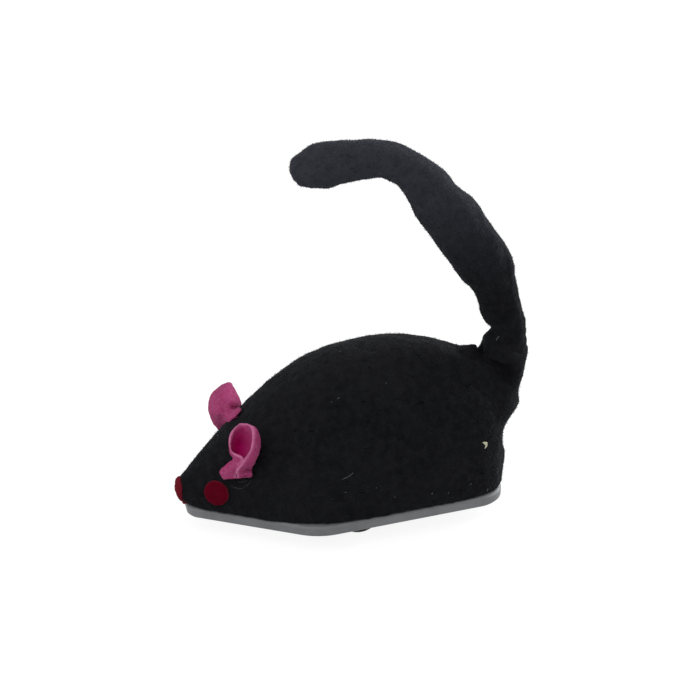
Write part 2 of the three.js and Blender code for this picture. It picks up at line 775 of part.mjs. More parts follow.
function hub(side) {
  const [near, far] = [wheelInnerFace - gap * 2, wheelOuterFace - gap];
  const [rimNear, rimFar] = [wheelInnerFace, wheelOuterFace];
  const bore = driveShaftRadius + shaftGap;
  const rimInner = hubRimRadius - hubWeb;
  const webNear = (rimNear + rimFar - hubWeb) / 2;
  const webFar = webNear + hubWeb;
  const outline = [
    [bore, near],
    [hubBossRadius, near],
    [hubBossRadius, webNear],
    [rimInner, webNear],
    [rimInner, rimNear],
    [hubRimRadius, rimNear],
    [hubRimRadius, rimFar],
    [rimInner, rimFar],
    [rimInner, webFar],
    [hubBossRadius, webFar],
    [hubBossRadius, far],
    [bore, far],
    [bore, near],
  ];
  return turned(outline, side, 18);
}

function tyre(side) {
  const inner = wheelRadius - tyreThickness + gap / 2;
  const shoulder = tyreThickness / 3;
  const [near, far] = [wheelInnerFace, wheelOuterFace];
  const outline = [
    [inner, near],
    [wheelRadius - shoulder, near],
    [wheelRadius, near + shoulder],
    [wheelRadius, far - shoulder],
    [wheelRadius - shoulder, far],
    [inner, far],
    [inner, near],
  ];
  return turned(outline, side, 28);
}

// A closed outline of radius and distance from the middle plane, turned about the axle line.
function turned(outline, side, segments) {
  const points = outline.map(([r, y]) => new THREE.Vector2(r, side * y));
  return new THREE.LatheGeometry(side < 0 ? points.toReversed() : points, segments);
}

function roller() {
  const bore = rollerPinRadius + shaftGap;
  const half = rollerWidth / 2;
  const round = rollerRadius / 6;
  const outline = [
    [bore, -half],
    [rollerRadius - round, -half],
    [rollerRadius, round - half],
    [rollerRadius, half - round],
    [rollerRadius - round, half],
    [bore, half],
    [bore, -half],
  ];
  return turned(outline, 1, 24);
}

// Plastic dome under the cover, with a post for each screw that comes up through the plate.
const bodyScrewTop = plateRideHeight + plateScrewHead + bodyScrewLength;

function bodyDome() {
  const inset = coverThickness + gap;
  const outer = bodySolid(inset, plateTop - overrun);
  const posts = bodyPosts.map(({ x, y }) =>
    upright(x, y, bodyPostRadius, [hem, plateTop + bodyHeight]).intersect(
      bodySolid(inset + domeWall / 2, plateTop - overrun),
    ),
  );
  const pilots = bodyPosts.map(({ x, y }) =>
    upright(x, y, plateScrewRadius + shaftGap, [plateTop, bodyScrewTop + shaftGap]),
  );
  const below = block(
    [bodyNoseX - overrun, bodyNoseX + bodyLength + overrun],
    [-bodyHalfWidth - overrun, bodyHalfWidth + overrun],
    [0, hem],
  );
  const wall = cut(outer, bodySolid(inset + domeWall, plateTop - 2 * overrun), below);
  return cut(join(wall, ...posts), ...pilots);
}

// Terry cover: the skin over the dome, and the stuffed rump that cups the tail's root.
const rumpShares = [
  [0.83, 0.34, 2.6],
  [0.895, 0.47, 2.07],
  [0.94, 0.58, 1.74],
  [0.973, 0.7, 1.35],
  [0.993, 0.82, 1.11],
  [0.998, 0.92, 1.04],
];
const rumpStations = rumpShares.map(([along, up, radius]) => [
  bodyNoseX + along * bodyLength,
  plateTop + up * bodyHeight,
  radius * tailRootRadius,
]);

function bodyCover() {
  const skin = bodySolid(0, plateTop, [skinRings, skinSides]);
  const rump = limb(rumpStations, 0, 2);
  const mouth = tailRootHeight - tailMouthDrop;
  const above = block(
    [tailX - 2 * tailRootRadius, tailX + 2 * tailRootRadius],
    [-2 * tailRootRadius, 2 * tailRootRadius],
    [mouth, mouth + 2 * tailRootRadius],
  );
  const below = block(
    [bodyNoseX - overrun, bodyNoseX + bodyLength + tailRootRadius],
    [-bodyHalfWidth - overrun, bodyHalfWidth + overrun],
    [0, hem],
  );
  return cut(
    join(skin, rump),
    bodySolid(coverThickness, plateTop - overrun),
    ball(tailX, tailRootHeight, tailRootRadius + gap),
    above,
    below,
  );
}

// Tail stations as shares of its reach forward, its rise and its radius.
const tailShares = [
  [0, 0, 0.777],
  [0.005, 0.122, 0.71],
  [0.035, 0.218, 0.74],
  [0.083, 0.329, 0.815],
  [0.153, 0.49, 1.01],
  [0.243, 0.625, 1.01],
  [0.327, 0.747, 0.935],
  [0.398, 0.847, 0.828],
  [0.49, 0.942, 0.685],
  [0.6, 0.998, 0.66],
  [0.734, 1.001, 0.705],
  [0.862, 0.988, 0.78],
  [0.94, 0.972, 0.695],
  [0.984, 0.953, 0.46],
  [1, 0.945, 0.15],
];
const tailStations = tailShares.map(([forward, up, radius]) => [
  tailX - forward * tailReach,
  tailRootHeight + up * tailRise,
  radius * tailRadius,
]);

function tailCover() {
  const root = ball(tailX, tailRootHeight, tailRootRadius);
  const core = limb(tailStations, tailCoverThickness, 1);
  const mouth = upright(tailX, 0, tailRootRadius / 2, [
    tailRootHeight - tailRootRadius - overrun,
    tailRootHeight + overrun,
  ]);
  return cut(join(limb(tailStations, 0, 2), root), core, mouth);
}

function tailStuffing() {
  return limb(tailStations, tailCoverThickness + gap, 1);
}

const mirrored = (angle, side) => (side < 0 ? angle : Math.PI - angle);

// The petal's flat width from the root to the rim, as shares of its widest.
const petalShares = [0.6, 0.75, 0.88, 0.97, 1, 0.98, 0.9];
const petalRimDropShare = 0.3; // how far the rim falls from its tip to its sides

// Ear: a felt petal rolled into a cup that opens towards the nose, cut to sit on the head.
function ear(side) {
  const across = 10;
  const up = petalShares.length - 1;
  const face = (inward) => {
    const grid = [];
    for (let i = 0; i <= up; i++) {
      const v = i / up;
      const curl = earRootRadius + (earRimRadius - earRootRadius) * v;
      const halfFlat = (earWidth * petalShares[i]) / 2;
      const row = [];
      for (let j = 0; j <= across; j++) {
        const u = (2 * j) / across - 1;
        const roll = (u * halfFlat) / curl;
        const radius = curl - inward;
        const rise = earHeight * v * (1 - petalRimDropShare * u * u * v);
        const back = earTipBack * v;
        const out = side * earTipOut * v;
        const x = radius * Math.cos(roll) - earRootRadius + back;
        row.push(new THREE.Vector3(x, side * radius * Math.sin(roll) + out, rise));
      }
      grid.push(row);
    }
    return grid;
  };
  const [outer, inner] = [face(0), face(feltThickness)];
  const rings = outer.map((row, i) => [...row, ...inner[i].toReversed()]);
  const petal = geometryOf(loft(rings, "strip"));
  const { x, y, z } = skinPoint(earPlaceShare, mirrored(earAngle, side), earRootDepth);
  petal.rotateZ(-side * earTurnOut);
  petal.translate(x, y, z);
  return solidOf(petal).subtract(bodySolid(-gap, plateTop, [skinRings, skinSides]));
}

// A felt disc, dished to lie on a curved cheek.
function feltDisc(radius, dish) {
  const steps = 3;
  const profile = [];
  for (let i = 0; i <= steps; i++) {
    const r = (radius * i) / steps;
    profile.push([r, -dish * (r / radius) ** 2]);
  }
  const top = profile.map(([r, y]) => [r, y + feltThickness]).toReversed();
  const outline = [...profile, ...top].map(([r, y]) => new THREE.Vector2(r, y));
  const geometry = new THREE.LatheGeometry(outline, 16);
  geometry.rotateX(Math.PI / 2);
  return geometry;
}

// The nose: felt moulded over the front of the snout.
function nose() {
  const geometry = new THREE.SphereGeometry(1, 20, 14);
  geometry.scale(noseBulge, noseWidth / 2, noseHeight / 2);
  geometry.translate(noseFront + noseBulge, 0, noseRise);
  const back = bodyNoseX + noseWrap;
  const behind = block([back, back + 2 * noseBulge], [-noseWidth, noseWidth], [0, 2 * noseHeight]);
  return cut(solidOf(geometry), behind, bodySolid(-gap, plateTop, [skinRings, skinSides]));
}

const toy = new THREE.Group();
const tailBack = Math.max(...rumpStations.map(([x, , radius]) => x + radius));
toy.position.x = -(noseFront + tailBack) / 2;

function piece(name, shape, look, parent = toy) {
  const geometry = shape.isBufferGeometry ? shape : geometryOf(shape);
  const mesh = new THREE.Mesh(geometry, new THREE.MeshStandardMaterial(look));
  mesh.name = name;
  parent.add(mesh);
  return mesh;
}

// Sets a mesh on the body's skin, with its own +Z along the skin's normal.
function seatOnSkin(mesh, share, angle, lift) {
  const here = skinPoint(share, angle, 0);
  const along = skinPoint(share + slopeShare, angle, 0).sub(here);
  const round = skinPoint(share, angle + slopeShare, 0).sub(here);
  const normal = along.cross(round).normalize();
  if (normal.z < 0) normal.negate();
  mesh.quaternion.setFromUnitVectors(new THREE.Vector3(0, 0, 1), normal);
  mesh.position.copy(here).addScaledVector(normal, lift);
}

piece("base_plate", basePlate(), whitePlastic);
piece("body_dome", bodyDome(), greyPlastic);
piece("body_cover", bodyCover(), terry);
piece("tail_cover", tailCover(), terry);
piece("tail_stuffing", tailStuffing(), stuffing);

for (const [name, side] of [
  ["left", -1],
  ["right", 1],
]) {
  piece("ear_" + name, ear(side), pinkFelt);
  const eye = piece("eye_" + name, feltDisc(eyeDiameter / 2, eyeDish), redFelt);
  seatOnSkin(eye, eyePlaceShare, mirrored(eyeAngle, side), 2 * gap);
  piece("hub_" + name, hub(side), whitePlastic).position.set(driveX, 0, driveZ);
  piece("tyre_" + name, tyre(side), rubber).position.set(driveX, 0, driveZ);
}

piece("nose", nose(), redFelt);

piece("motor_case", motorCase(), greyPlastic);
piece("motor_cover", motorCover(), greyPlastic);
piece("spring_gear", springGear(), nylon);
piece("mainspring", mainspring(), steel);
piece("drive_cluster", driveCluster(), nylon);
piece("winding_idler", windingIdler(), nylon);
piece("axle_pinion", axlePinion(), nylon);
const shaftEnd = wheelOuterFace - 2 * gap;
piece("drive_shaft", crossBar(driveX, driveZ, driveShaftRadius, [-shaftEnd, shaftEnd]), steel);
piece("roller", roller(), whitePlastic).position.set(rollerX, 0, rollerZ);
const pinEnd = rollerWidth / 2 + gap + forkWall;
piece("roller_pin", crossBar(rollerX, rollerZ, rollerPinRadius, [-pinEnd, pinEnd]), steel);

for (const { name, x, z } of caseScrews) {
  const shape = screw(caseScrewRadius, caseScrewLength, caseScrewHeadRadius, caseScrewHead);
  piece("case_screw_" + name, shape, steel).position.set(x, coverOuterFace + shaftGap, z);
}
for (const { name, x } of motorLugs) {
  const shape = screw(plateScrewRadius, plateScrewLength, plateScrewHeadRadius, plateScrewHead);
  const mesh = piece("motor_screw_" + name, shape, steel);
  mesh.rotation.x = Math.PI / 2;
  mesh.position.set(x, 0, lugTop + shaftGap);
}
for (const { name, x, y } of bodyPosts) {
  const shape = screw(plateScrewRadius, bodyScrewLength, plateScrewHeadRadius, plateScrewHead);
  const mesh = piece("body_screw_" + name, shape, steel);
  mesh.rotation.x = -Math.PI / 2;
  mesh.position.set(x, y, plateRideHeight + plateScrewHead);
}

export default toy;
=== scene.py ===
import math
import random

import bmesh
import bpy
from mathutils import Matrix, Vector, noise
from mathutils.bvhtree import BVHTree


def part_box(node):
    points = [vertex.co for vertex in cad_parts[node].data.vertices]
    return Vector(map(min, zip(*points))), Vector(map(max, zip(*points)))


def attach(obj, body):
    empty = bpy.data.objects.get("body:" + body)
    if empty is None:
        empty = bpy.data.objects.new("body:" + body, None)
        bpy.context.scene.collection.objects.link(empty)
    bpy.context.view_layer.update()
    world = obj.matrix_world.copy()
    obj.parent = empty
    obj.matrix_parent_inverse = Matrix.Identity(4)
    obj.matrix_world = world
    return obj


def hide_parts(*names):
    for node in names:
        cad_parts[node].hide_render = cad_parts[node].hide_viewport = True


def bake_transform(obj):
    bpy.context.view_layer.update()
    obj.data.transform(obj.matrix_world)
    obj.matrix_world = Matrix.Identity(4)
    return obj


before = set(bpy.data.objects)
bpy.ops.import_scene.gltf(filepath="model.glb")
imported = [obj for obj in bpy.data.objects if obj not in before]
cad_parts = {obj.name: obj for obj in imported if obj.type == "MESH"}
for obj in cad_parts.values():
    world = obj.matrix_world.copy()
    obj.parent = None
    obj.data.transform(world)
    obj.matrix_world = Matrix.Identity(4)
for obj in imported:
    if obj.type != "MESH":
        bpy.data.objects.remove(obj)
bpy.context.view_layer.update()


# The clockwork's gears and pinion. They are moulded in natural nylon, which is
# milky and slightly waxy, with faint flow marks, and turn on moulded pivots
# between the two halves of the case.
def put(tree, kind, feeds=None, **settings):
    """One node in the tree; feeds gives its sockets a value or another node's output."""
    made = tree.nodes.new(kind)
    for name, value in settings.items():
        setattr(made, name, value)
    for socket, value in (feeds or {}).items():
        if isinstance(value, bpy.types.NodeSocket):
            tree.links.new(value, made.inputs[socket])
        else:
            made.inputs[socket].default_value = value
    return made


def sums(tree, operation, first, second=0.0, third=0.0):
    """The output of one Math node."""
    return put(tree, "ShaderNodeMath", {0: first, 1: second, 2: third}, operation=operation).outputs[0]


def ranged(tree, value, low, high, to_low=0.0, to_high=1.0):
    """A value taken smoothly from one range to another, and held at its ends."""
    feeds = {0: value, 1: low, 2: high, 3: to_low, 4: to_high}
    return put(tree, "ShaderNodeMapRange", feeds, interpolation_type="SMOOTHSTEP").outputs[0]


def blended(tree, share, first, second, mode="MIX"):
    """Two colours mixed by a share."""
    feeds = {0: share, 6: first, 7: second}
    return put(tree, "ShaderNodeMix", feeds, data_type="RGBA", blend_type=mode).outputs[2]


def cloud(tree, place, size, detail=3.0, roughness=0.55, distortion=0.0):
    """Cloudy noise whose patches are about size metres across; size may come from a socket."""
    from_socket = isinstance(size, bpy.types.NodeSocket)
    feeds = {
        "Vector": place,
        "Scale": sums(tree, "DIVIDE", 1.0, size) if from_socket else 1 / size,
        "Detail": detail,
        "Roughness": roughness,
        "Distortion": distortion,
    }
    return put(tree, "ShaderNodeTexNoise", feeds).outputs[0]


def effect(name, inputs, outputs):
    """An empty node group with named sockets, and its inner input and output nodes."""
    group = bpy.data.node_groups.new(name, "ShaderNodeTree")
    for label, kind, value in inputs:
        socket = group.interface.new_socket(name=label, in_out="INPUT", socket_type=kind)
        if value is not None:
            socket.default_value = value
    for label, kind in outputs:
        group.interface.new_socket(name=label, in_out="OUTPUT", socket_type=kind)
    return group, group.nodes.new("NodeGroupInput"), group.nodes.new("NodeGroupOutput")


def finish_of(name, group, values, depth, plain, rounding=None, marks=None):
    """A material whose colour, roughness and relief come from an effect group.

    The values go to the group's sockets, the marks feed them from point attributes of the
    mesh, plain goes on the shader, and rounding is the radius of softened edges.
    """
    material = bpy.data.materials.new(name)
    material.use_nodes = True
    tree = material.node_tree
    tree.nodes.clear()
    place = put(tree, "ShaderNodeTexCoord").outputs["Object"]
    made = put(tree, "ShaderNodeGroup", {"Place": place, **values}, node_tree=group)
    for socket, attribute in (marks or {}).items():
        mark = put(tree, "ShaderNodeAttribute", attribute_name=attribute).outputs["Fac"]
        tree.links.new(mark, made.inputs[socket])
    relief = {"Height": made.outputs["Height"], "Distance": depth, "Strength": 1.0}
    if rounding:
        relief["Normal"] = put(tree, "ShaderNodeBevel", {"Radius": rounding}, samples=4).outputs[0]
    shader = put(tree, "ShaderNodeBsdfPrincipled", plain)
    tree.links.new(made.outputs["Color"], shader.inputs["Base Color"])
    tree.links.new(made.outputs["Roughness"], shader.inputs["Roughness"])
    tree.links.new(put(tree, "ShaderNodeBump", relief).outputs[0], shader.inputs["Normal"])
    put(tree, "ShaderNodeOutputMaterial", {"Surface": shader.outputs[0]})
    return material


VECTOR, COLOR, FLOAT = "NodeSocketVector", "NodeSocketColor", "NodeSocketFloat"
SURFACE = [("Color", COLOR), ("Roughness", FLOAT), ("Height", FLOAT)]

moulded, given, result = effect(
    "moulded plastic",
    [
        ("Place", VECTOR, None),
        ("Plastic", COLOR, (0.5, 0.5, 0.5, 1)),
        ("Dust", COLOR, (0.5, 0.5, 0.5, 1)),
        ("Grain Size", FLOAT, 0.0003),
        ("Gloss", FLOAT, 0.4),
    ],
    SURFACE,
)
flow = cloud(moulded, given.outputs["Place"], 0.009, 4, 0.6, 0.8)
grain = cloud(moulded, given.outputs["Place"], given.outputs["Grain Size"], 2.0, 0.5)
scuff = ranged(moulded, cloud(moulded, given.outputs["Place"], 0.0022, 5, 0.7), 0.57, 0.72)
lighter = ranged(moulded, flow, 0.35, 0.7, 0.0, 0.3)
tone = blended(moulded, lighter, given.outputs["Plastic"], (1, 1, 1, 1), "SOFT_LIGHT")
settled_dust = blended(moulded, sums(moulded, "MULTIPLY", scuff, 0.35), tone, given.outputs["Dust"])
moulded.links.new(settled_dust, result.inputs["Color"])
rough = sums(moulded, "ADD", given.outputs["Gloss"], sums(moulded, "MULTIPLY", scuff, 0.16))
rough = sums(moulded, "ADD", rough, sums(moulded, "MULTIPLY", grain, 0.06))
moulded.links.new(rough, result.inputs["Roughness"])
relief = sums(moulded, "ADD", grain, sums(moulded, "MULTIPLY", flow, 1.5))
moulded.links.new(relief, result.inputs["Height"])

nylon = finish_of(
    "nylon_natural",
    moulded,
    {
        "Plastic": (0.72, 0.7, 0.64, 1),
        "Dust": (0.5, 0.48, 0.42, 1),
        "Grain Size": 0.0002,
        "Gloss": 0.38,
    },
    0.00002,
    {
        "IOR": 1.53,
        "Subsurface Weight": 0.12,
        "Subsurface Radius": (0.0012, 0.001, 0.0008),
        "Subsurface Scale": 1.0,
    },
    0.00008,
)


def dress(material, *nodes):
    """Puts a material on CAD nodes."""
    for node in nodes:
        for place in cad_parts[node].material_slots:
            place.material = material


dress(nylon, "spring_gear", "drive_cluster", "winding_idler", "axle_pinion")


# The mainspring and the steel pins. The spring is rolled blue-grey strip; the
# drive shaft and the roller's pin are bright drawn wire, and the screws are
# zinc plated and a little dull.
drawn, given, result = effect(
    "drawn metal",
    [
        ("Place", VECTOR, None),
        ("Metal", COLOR, (0.5, 0.5, 0.5, 1)),
        ("Tarnish", COLOR, (0.3, 0.3, 0.3, 1)),
        ("Along", VECTOR, (1, 1, 1)),
        ("Polish", FLOAT, 0.3),
    ],
    SURFACE,
)
stretched = put(
    drawn,
    "ShaderNodeVectorMath",
    {0: given.outputs["Place"], 1: given.outputs["Along"]},
    operation="MULTIPLY",
).outputs[0]
lines = cloud(drawn, stretched, 0.0002, 3, 0.7)
patches = ranged(drawn, cloud(drawn, given.outputs["Place"], 0.0018, 4, 0.65), 0.45, 0.7)
tarnished = blended(drawn, patches, given.outputs["Metal"], given.outputs["Tarnish"])
drawn.links.new(tarnished, result.inputs["Color"])
dull = sums(drawn, "ADD", given.outputs["Polish"], sums(drawn, "MULTIPLY", patches, 0.15))
dull = sums(drawn, "ADD", dull, sums(drawn, "MULTIPLY", lines, 0.12))
drawn.links.new(dull, result.inputs["Roughness"])
drawn.links.new(lines, result.inputs["Height"])

spring_steel = finish_of(
    "spring_steel_blued",
    drawn,
    {
        "Metal": (0.3, 0.33, 0.38, 1),
        "Tarnish": (0.2, 0.2, 0.26, 1),
        "Along": (1, 0.1, 1),
        "Polish": 0.28,
    },
    0.00001,
    {"Metallic": 1.0},
)
bright_steel = finish_of(
    "steel_drawn",
    drawn,
    {
        "Metal": (0.56, 0.56, 0.55, 1),
        "Tarnish": (0.42, 0.41, 0.39, 1),
        "Along": (1, 0.08, 1),
        "Polish": 0.22,
    },
    0.00001,
    {"Metallic": 1.0},
)
zinc_plate = finish_of(
    "steel_zinc_plated",
    drawn,
    {
        "Metal": (0.6, 0.61, 0.62, 1),
        "Tarnish": (0.4, 0.4, 0.38, 1),
        "Along": (1, 1, 1),
        "Polish": 0.33,
    },
    0.000015,
    {"Metallic": 1.0},
    0.00006,
)
dress(spring_steel, "mainspring")
dress(bright_steel, "drive_shaft", "roller_pin")
dress(zinc_plate, "case_screw_front", "case_screw_rear", "case_screw_low")
dress(zinc_plate, "motor_screw_front", "motor_screw_rear")
dress(zinc_plate, "body_screw_front", "body_screw_left", "body_screw_right")


# The clockwork's case, the hubs, the rear roller and the dome. All are moulded in
# opaque white plastic: the case is closed by a lip and three screws, the hubs are
# pressed on the shaft, and the thin dome is screwed to the plate from below.
white_plastic = finish_of(
    "white_plastic",
    moulded,
    {
        "Plastic": (0.7, 0.71, 0.7, 1),
        "Dust": (0.42, 0.4, 0.37, 1),
        "Grain Size": 0.00035,
        "Gloss": 0.36,
    },
    0.00003,
    {"IOR": 1.5},
    0.00012,
)
dress(white_plastic, "motor_case", "motor_cover", "hub_left", "hub_right", "roller", "body_dome")


# The tyres. Soft black rubber rings pushed over the hubs, matt from the mould
# and dusty where they have run on the floor.
rubber, given, result = effect(
    "tyre rubber",
    [
        ("Place", VECTOR, None),
        ("Rubber", COLOR, (0.02, 0.02, 0.02, 1)),
        ("Dust", COLOR, (0.1, 0.1, 0.1, 1)),
    ],
    SURFACE,
)
tread = cloud(rubber, given.outputs["Place"], 0.00035, 3, 0.6)
dusty = ranged(rubber, cloud(rubber, given.outputs["Place"], 0.0014, 4, 0.7), 0.5, 0.75, 0.0, 0.5)
trodden = blended(rubber, dusty, given.outputs["Rubber"], given.outputs["Dust"])
rubber.links.new(trodden, result.inputs["Color"])
rubber.links.new(ranged(rubber, tread, 0.3, 0.7, 0.62, 0.82), result.inputs["Roughness"])
rubber.links.new(tread, result.inputs["Height"])
tyre_rubber = finish_of(
    "rubber_tyre",
    rubber,
    {"Rubber": (0.018, 0.018, 0.019, 1), "Dust": (0.09, 0.085, 0.08, 1)},
    0.00006,
    {"IOR": 1.5, "Specular IOR Level": 0.3},
    0.0003,
)
dress(tyre_rubber, "tyre_left", "tyre_right")


# The base plate. One moulding of light grey plastic with a rounded edge, the
# wheel well, the roller's fork and the screw bosses; its edge shows all round
# below the cloth. Its colour is painted darker than the plastic, as painted shade under the cloth's
# hem.
grey_plastic = finish_of(
    "grey_plastic",
    moulded,
    {
        "Plastic": (0.155, 0.16, 0.165, 1),
        "Dust": (0.23, 0.23, 0.225, 1),
        "Grain Size": 0.0003,
        "Gloss": 0.46,
    },
    0.00004,
    {"IOR": 1.5, "Specular IOR Level": 0.3},
    0.0007,
)
dress(grey_plastic, "base_plate")


# The body's cover. Black terry cloth pulled over the plastic dome and glued
# under its rim just above the plate, with its pile outside; it gathers a
# little where the tail is sewn on.
LENGTH, HALF_WIDTH, HEIGHT = 0.0828, 0.0204, 0.0383
NOSE_X, PLATE_TOP, HEM_CLEAR = -0.0434752, 0.00665, 0.0003
CLOTH = 0.0011
ROUND = 2.3
# The skin's places from nose to rump: how far along, half width, bottom and top,
# each as a share of the body's size. ROUND makes its sections fuller than ellipses.
SKIN = [
    (0, 0.1, 0.07, 0.115),
    (0.005, 0.16, 0.03, 0.165),
    (0.023, 0.235, 0.01, 0.203),
    (0.053, 0.315, 0, 0.272),
    (0.119, 0.485, 0, 0.42),
    (0.191, 0.65, 0, 0.571),
    (0.269, 0.824, 0, 0.717),
    (0.347, 0.946, 0, 0.834),
    (0.443, 1, 0, 0.933),
    (0.551, 0.971, 0, 0.99),
    (0.671, 0.912, 0, 1),
    (0.779, 0.843, 0, 0.954),
    (0.863, 0.784, 0, 0.878),
    (0.923, 0.68, 0, 0.81),
    (0.962, 0.52, 0.003, 0.715),
    (0.985, 0.33, 0.09, 0.58),
    (1, 0.15, 0.165, 0.38),
]


def smooth(rows, place):
    """A row between the rows of a table, on a curve through all of them."""
    at = min(max(int(place), 0), len(rows) - 2)
    t = place - at
    near = [rows[min(max(k, 0), len(rows) - 1)] for k in range(at - 1, at + 3)]
    return [
        (2 * b + (c - a) * t + (2 * a - 5 * b + 4 * c - d) * t * t + (3 * b - a - 3 * c + d) * t**3) / 2
        for a, b, c, d in zip(*near)
    ]


def skin(place, angle):
    """A point of the body's outer surface; the angle runs from the left flank over the back."""
    along, half, low, top = smooth(SKIN, place)
    across = math.cos(angle)
    side = -math.copysign(abs(across) ** (2 / ROUND), across)
    rise = low + (top - low) * math.sin(angle)
    return Vector((NOSE_X + along * LENGTH, half * HALF_WIDTH * side, PLATE_TOP + rise * HEIGHT))


def made_piece(name, points, faces):
    """A new object with these points and faces."""
    mesh = bpy.data.meshes.new(name)
    mesh.from_pydata([tuple(p) for p in points], [], faces)
    mesh.shade_smooth()
    piece = bpy.data.objects.new(name, mesh)
    bpy.context.scene.collection.objects.link(piece)
    return piece


def shell(name, rings, closed, caps=(False, False)):
    """A smooth mesh through rings of points; a capped end is closed with a point in its middle."""
    count = len(rings[0])
    points = [p for ring in rings for p in ring]
    faces = []
    for i in range(len(rings) - 1):
        for j in range(count if closed else count - 1):
            a, b = i * count + j, i * count + (j + 1) % count
            faces.append((a, b, b + count, a + count))
    for end, capped in enumerate(caps):
        if capped:
            first = end * (len(rings) - 1) * count
            points.append(sum((Vector(p) for p in rings[-end]), Vector()) / count)
            for j in range(count if closed else count - 1):
                pair = (first + j, first + (j + 1) % count)
                faces.append((*(pair if end else pair[::-1]), len(points) - 1))
    return made_piece(name, points, faces)


def rumple(piece, waves, seed):
    """Moves each point along its normal by layers of noise, each (size, height) in metres."""
    normals = [v.normal.copy() for v in piece.data.vertices]
    for v, n in zip(piece.data.vertices, normals):
        for k, (size, height) in enumerate(waves):
            v.co += n * height * noise.noise(v.co / size + Vector((seed, k * 7.3, 2.1)))
    piece.data.update()


def gather(piece, spots):
    """Pulls the cloth out or in at each spot: a place, how far it reaches and how high.

    A spot on the mouse's middle plane works evenly across the middle.
    """
    middle_strip = 0.004
    rest = [(v, v.co.copy(), v.normal.copy()) for v in piece.data.vertices]
    for x, y, z, reach, height in spots:
        for v, at, n in rest:
            away = at - Vector((x, y, z))
            if y == 0 and abs(away.y) < middle_strip:
                away.y = 0
            share = away.length / reach
            if share < 1:
                v.co += n * height * (1 - share * share) ** 2
    piece.data.update()


def settle(piece):
    """Applies the piece's modifiers to its mesh."""
    bpy.context.view_layer.update()
    seen = piece.evaluated_get(bpy.context.evaluated_depsgraph_get())
    final = bpy.data.meshes.new_from_object(seen)
    piece.modifiers.clear()
    piece.data = final


THIN_EDGE = 0.35


def thicken(piece, depth, offset, group=""):
    """Gives a sheet its thickness, less of it outside the vertex group, and closes its edges."""
    layer = piece.modifiers.new("thickness", "SOLIDIFY")
    layer.thickness = depth
    layer.offset = offset
    layer.use_even_offset = False
    if group:
        layer.vertex_group = group
        layer.thickness_vertex_group = THIN_EDGE
    settle(piece)
    piece.data.shade_smooth()


# The rump's limb up into the tail's root: x, z and radius.
RUMP = [
    (0.03063, 0.02465, 0.01118),
    (0.03436, 0.02886, 0.0094),
    (0.03709, 0.03346, 0.00729),
    (0.03875, 0.03806, 0.00599),
    (0.0389, 0.0400, 0.0056),
    (0.0391, 0.0412, 0.0046),
]


def limb_rings(rows, steps, sides, inset):
    """Rings of points round a limb that bends in the plane of the mouse's middle."""
    last = len(rows) - 1
    rings = []
    for i in range(steps + 1):
        place = last * i / steps
        x, z, radius = smooth(rows, place)
        before, after = smooth(rows, max(place - 0.05, 0)), smooth(rows, min(place + 0.05, last))
        run = Vector((after[0] - before[0], 0, after[1] - before[1])).normalized()
        out = Vector((run.z, 0, -run.x))
        radius = max(radius - inset, 0.0003)
        ring = []
        for j in range(sides):
            turn = math.tau * j / sides
            arm = out * math.cos(turn) + Vector((0, 1, 0)) * math.sin(turn)
            ring.append(Vector((x, 0, z)) + radius * arm)
        rings.append(ring)
    return rings


def joined(name, *parts):
    """One piece holding the meshes of several, which are then gone."""
    points, faces = [], []
    for part in parts:
        start = len(points)
        points += [tuple(v.co) for v in part.data.vertices]
        faces += [tuple(start + k for k in f.vertices) for f in part.data.polygons]
        bpy.data.objects.remove(part)
    return made_piece(name, points, faces)


def soften(piece, times, group=""):
    """Evens out the surface, where the vertex group says so."""
    even = piece.modifiers.new("soften", "SMOOTH")
    even.factor = 0.5
    even.iterations = times
    even.vertex_group = group
    settle(piece)


def surface_of(piece):
    """The piece's surface, for finding places on it."""
    return BVHTree.FromObject(piece, bpy.context.evaluated_depsgraph_get())


HEM_WIDTH, HEM_DEPTH = 0.0026, 0.0012
HEM_FRONT, HEM_REAR = -0.036, 0.031


def open_under(piece, rings):
    """Takes away the cloth under the body, inside the hem that is tucked under the dome's rim."""
    outline = [(ring[0].x, max(p.y for p in ring)) for ring in rings]
    mesh = bmesh.new()
    mesh.from_mesh(piece.data)
    gone = []
    for face in mesh.faces:
        middle = face.calc_center_median()
        below = middle.z < PLATE_TOP + HEM_DEPTH and face.normal.z < -0.7
        if below and HEM_FRONT < middle.x < HEM_REAR:
            half = min(outline, key=lambda row: abs(row[0] - middle.x))[1]
            if abs(middle.y) < half - HEM_WIDTH:
                gone.append(face)
    bmesh.ops.delete(mesh, geom=gone, context="FACES")
    mesh.to_mesh(piece.data)
    mesh.free()


